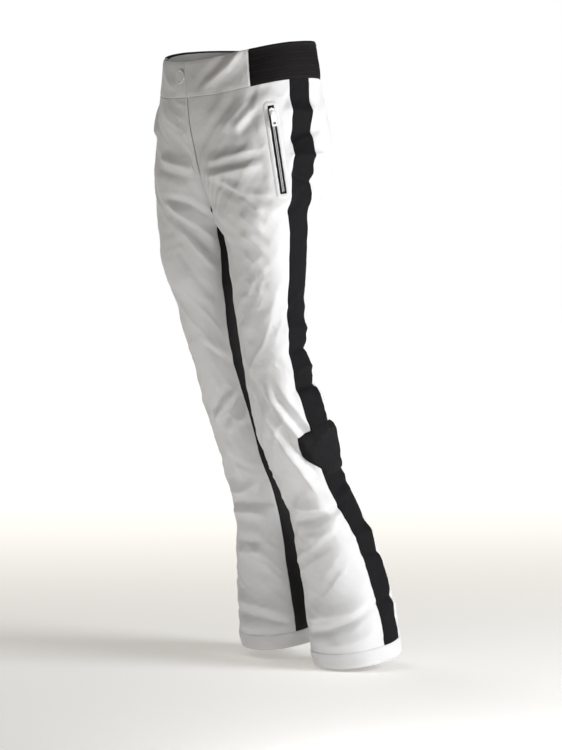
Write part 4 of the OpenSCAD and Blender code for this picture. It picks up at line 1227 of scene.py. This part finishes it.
def make_stage():
    """The floor, the room, the lights and the camera."""
    floor_z = CAD_BOX[0][2] - FLOOR_DROP
    material, tree, shader = start_material("stage_paper")
    place = add(tree, "ShaderNodeTexCoord").outputs["Object"]
    grain = add(tree, "ShaderNodeTexNoise", {"Vector": place, "Scale": 3.0}).outputs["Fac"]
    tone = add(tree, "ShaderNodeMix", {0: grain, 6: paint("#F4F4F4"), 7: paint("#F7F7F7")}, data_type="RGBA")
    tree.links.new(tone.outputs[2], shader.inputs["Base Color"])
    shader.inputs["Roughness"].default_value = 0.9
    shader.inputs["Emission Color"].default_value = paint("#FFFBF3")
    # The paper glows towards the back, as under its own lamps
    depth = add(tree, "ShaderNodeVectorMath", {0: place, 1: ROOM_BACK}, operation="DOT_PRODUCT").outputs["Value"]
    glow = add(tree, "ShaderNodeMapRange", {"Value": depth, "From Min": -0.4, "From Max": 4.2,
                                            "To Min": SETTINGS["paper_glow"] * 0.6,
                                            "To Max": SETTINGS["paper_glow"] * 2.0}, interpolation_type="SMOOTHSTEP")
    near = add(tree, "ShaderNodeMapRange", {"Value": depth, "From Min": -1.1, "From Max": -5.0, "To Min": 0.0,
                                            "To Max": SETTINGS["paper_glow"] * 1.1}, interpolation_type="SMOOTHSTEP")
    both = add(tree, "ShaderNodeMath", {0: glow.outputs[0], 1: near.outputs[0]}, operation="ADD").outputs[0]
    tree.links.new(both, shader.inputs["Emission Strength"])
    around = np.radians(np.arange(0, 360, 5))
    points = [(1000 * FLOOR_RADIUS * math.cos(t), 1000 * FLOOR_RADIUS * math.sin(t), 1000 * floor_z)
              for t in around]
    faces = [list(range(len(points)))]
    floor = mesh_of("floor", points, faces)
    floor.data.materials.append(material)
    # The room is white to the eye and gives little light of its own
    world = bpy.data.worlds.new("studio")
    world.use_nodes = True
    room = world.node_tree
    room.nodes.clear()
    dim = add(room, "ShaderNodeBackground", {"Color": paint("#F8EFDD"), "Strength": SETTINGS["world_light"]})
    bright = add(room, "ShaderNodeBackground", {"Color": paint("#FFFFFF"), "Strength": 1.0})
    seen = add(room, "ShaderNodeLightPath").outputs["Is Camera Ray"]
    both = add(room, "ShaderNodeMixShader", {0: seen, 1: dim.outputs[0], 2: bright.outputs[0]})
    add(room, "ShaderNodeOutputWorld", {"Surface": both.outputs[0]})
    bpy.context.scene.world = world
    middle = Vector((0.02, 0.03, -0.5))
    right = Vector((0.627, 0.779, 0))
    toward = -Vector(SETTINGS["look"])
    up = Vector((0, 0, 1))
    white, warm = (0.98, 0.99, 1.0), (1.0, 0.96, 0.89)
    area_light("key", middle + right * 2.1 + toward * 0.95 + up * 0.45, middle - up * 0.25, 1.3,
               SETTINGS["key_light"], (0.975, 0.985, 1.0))
    area_light("low", middle - right * 1.15 - up * 0.33, Vector((-0.1, 0.14, -0.86)), 0.4,
               SETTINGS["low_light"], white)
    area_light("shins", middle + toward * 1.05 + right * 0.3 - up * 0.4, Vector((0.0, 0.16, -0.88)), 0.35,
               SETTINGS["shin_light"], white)
    area_light("fill", middle - right * 1.2 + toward * 3.2 + up * 1.0, middle, 2.6,
               SETTINGS["fill_light"], warm)
    area_light("back", middle - right * 1.6 - toward * 1.8 + up * 1.6, middle, 1.6,
               SETTINGS["back_light"], (1.0, 1.0, 1.0))
    bpy.context.scene.view_settings.view_transform = "Standard"
    camera = bpy.data.cameras.new("camera")
    camera.lens, camera.sensor_width = SETTINGS["lens"], 36
    eye = bpy.data.objects.new("camera", camera)
    eye.location = SETTINGS["eye"]
    eye.rotation_euler = Vector(SETTINGS["look"]).to_track_quat("-Z", "Y").to_euler()
    bpy.context.scene.collection.objects.link(eye)
    bpy.context.scene.camera = eye


# Add-on ----------------------------------------------------------------------------------------------

MATERIALS = {}
SETTINGS = {}


class SkiPantsSettings(bpy.types.PropertyGroup):
    """What the ski pants are made to."""
    grid_step: bpy.props.FloatProperty(name="Grid step", description="Spacing of the cloth's mesh",
                                       default=0.0032, min=0.002, max=0.01, unit="LENGTH", subtype="DISTANCE")
    fold_height: bpy.props.FloatProperty(name="Fold height", description="Height of the folds, as a share",
                                         default=1.3, min=0.0, max=2.0, subtype="FACTOR")
    rib_pitch: bpy.props.FloatProperty(name="Rib pitch", description="Spacing of the elastic's ribs",
                                       default=0.0026, min=0.001, max=0.006, unit="LENGTH", subtype="DISTANCE")
    stitch_pitch: bpy.props.FloatProperty(name="Stitch pitch", description="Spacing of the stitches",
                                          default=0.0032, min=0.002, max=0.006, unit="LENGTH", subtype="DISTANCE")
    stitch_length: bpy.props.FloatProperty(name="Stitch length", description="Length of one stitch",
                                           default=0.0024, min=0.001, max=0.005, unit="LENGTH", subtype="DISTANCE")
    shell_colour: bpy.props.StringProperty(name="Shell colour", description="Main cloth, as an sRGB code",
                                           default="#ECECED")
    stripe_colour: bpy.props.StringProperty(name="Stripe colour", description="Outer stripe, as an sRGB code",
                                            default="#19181A")
    lens: bpy.props.FloatProperty(name="Lens", description="Focal length in millimetres", default=129.88)
    eye: bpy.props.FloatVectorProperty(name="Eye", description="Camera position", size=3,
                                       default=(3.62485, -2.83204, -0.350), subtype="TRANSLATION")
    look: bpy.props.FloatVectorProperty(name="Look", description="Camera direction", size=3,
                                        default=(-0.77851, 0.62645, -0.03847), subtype="DIRECTION")
    key_light: bpy.props.FloatProperty(name="Key light", description="Power of the key light", default=52.0,
                                       subtype="POWER")
    low_light: bpy.props.FloatProperty(name="Low light", description="Power of the low light at the far side",
                                       default=1.3, subtype="POWER")
    shin_light: bpy.props.FloatProperty(name="Shin light", description="Power of the low light in front",
                                        default=1.8, subtype="POWER")
    fill_light: bpy.props.FloatProperty(name="Fill light", description="Power of the fill light", default=1.2,
                                        subtype="POWER")
    back_light: bpy.props.FloatProperty(name="Back light", description="Power of the back light", default=8.0,
                                        subtype="POWER")
    world_light: bpy.props.FloatProperty(name="World light", description="Strength of the world", default=0.07)
    paper_glow: bpy.props.FloatProperty(name="Paper glow", description="Light given off by the backdrop",
                                        default=0.55)


def read_settings():
    """Takes the settings from the scene, with lengths in millimetres, and makes the materials once."""
    given = bpy.context.scene.ski_pants
    SETTINGS.update({key: getattr(given, key) for key in SkiPantsSettings.__annotations__})
    SETTINGS.update(eye=tuple(given.eye), look=tuple(given.look))
    for key in ("grid_step", "rib_pitch", "stitch_pitch", "stitch_length"):
        SETTINGS[key] *= 1000
    if not MATERIALS:
        make_materials()


class SKIPANTS_OT_legs(bpy.types.Operator):
    """Makes the leg panels, stripes and knee shields"""
    bl_idname = "skipants.legs"
    bl_label = "Legs"

    def execute(self, context):
        read_settings()
        make_legs()
        return {"FINISHED"}


class SKIPANTS_OT_waistband(bpy.types.Operator):
    """Makes the waistband, its elastic and its facing"""
    bl_idname = "skipants.waistband"
    bl_label = "Waistband"

    def execute(self, context):
        read_settings()
        make_waistband()
        return {"FINISHED"}


class SKIPANTS_OT_fly(bpy.types.Operator):
    """Makes the fly flap, its underlaps and the snap"""
    bl_idname = "skipants.fly"
    bl_label = "Fly"

    def execute(self, context):
        read_settings()
        make_fly()
        return {"FINISHED"}


class SKIPANTS_OT_pockets(bpy.types.Operator):
    """Makes the pocket welts, zips and bags"""
    bl_idname = "skipants.pockets"
    bl_label = "Pockets"

    def execute(self, context):
        read_settings()
        make_pockets()
        return {"FINISHED"}


class SKIPANTS_OT_hems(bpy.types.Operator):
    """Makes the hem bands and the gaiters inside them"""
    bl_idname = "skipants.hems"
    bl_label = "Hems"

    def execute(self, context):
        read_settings()
        make_hems()
        return {"FINISHED"}


class SKIPANTS_OT_stitching(bpy.types.Operator):
    """Makes the topstitching"""
    bl_idname = "skipants.stitching"
    bl_label = "Stitching"

    def execute(self, context):
        read_settings()
        make_stitching()
        return {"FINISHED"}


class SKIPANTS_OT_stage(bpy.types.Operator):
    """Makes the floor, the lights and the camera"""
    bl_idname = "skipants.stage"
    bl_label = "Stage"

    def execute(self, context):
        read_settings()
        make_stage()
        return {"FINISHED"}


class SKIPANTS_PT_panel(bpy.types.Panel):
    """Settings and steps of the ski pants"""
    bl_idname = "SKIPANTS_PT_panel"
    bl_label = "Ski pants"
    bl_space_type = "VIEW_3D"
    bl_region_type = "UI"
    bl_category = "Ski pants"

    def draw(self, context):
        for key in SkiPantsSettings.__annotations__:
            self.layout.prop(context.scene.ski_pants, key)
        for step in STEPS:
            self.layout.operator(step.bl_idname)


STEPS = (SKIPANTS_OT_legs, SKIPANTS_OT_waistband, SKIPANTS_OT_fly, SKIPANTS_OT_pockets, SKIPANTS_OT_hems,
         SKIPANTS_OT_stitching, SKIPANTS_OT_stage)
CLASSES = (SkiPantsSettings,) + STEPS + (SKIPANTS_PT_panel,)


def register():
    """Adds the settings, the steps and the panel."""
    for each in CLASSES:
        bpy.utils.register_class(each)
    bpy.types.Scene.ski_pants = bpy.props.PointerProperty(type=SkiPantsSettings)


def unregister():
    """Takes them away again."""
    del bpy.types.Scene.ski_pants
    for each in reversed(CLASSES):
        bpy.utils.unregister_class(each)


def main():
    """Makes the ski pants step by step."""
    register()
    bpy.ops.skipants.legs()
    bpy.ops.skipants.waistband()
    bpy.ops.skipants.fly()
    bpy.ops.skipants.pockets()
    bpy.ops.skipants.hems()
    bpy.ops.skipants.stitching()
    bpy.ops.skipants.stage()


if __name__ == "__main__":
    main()
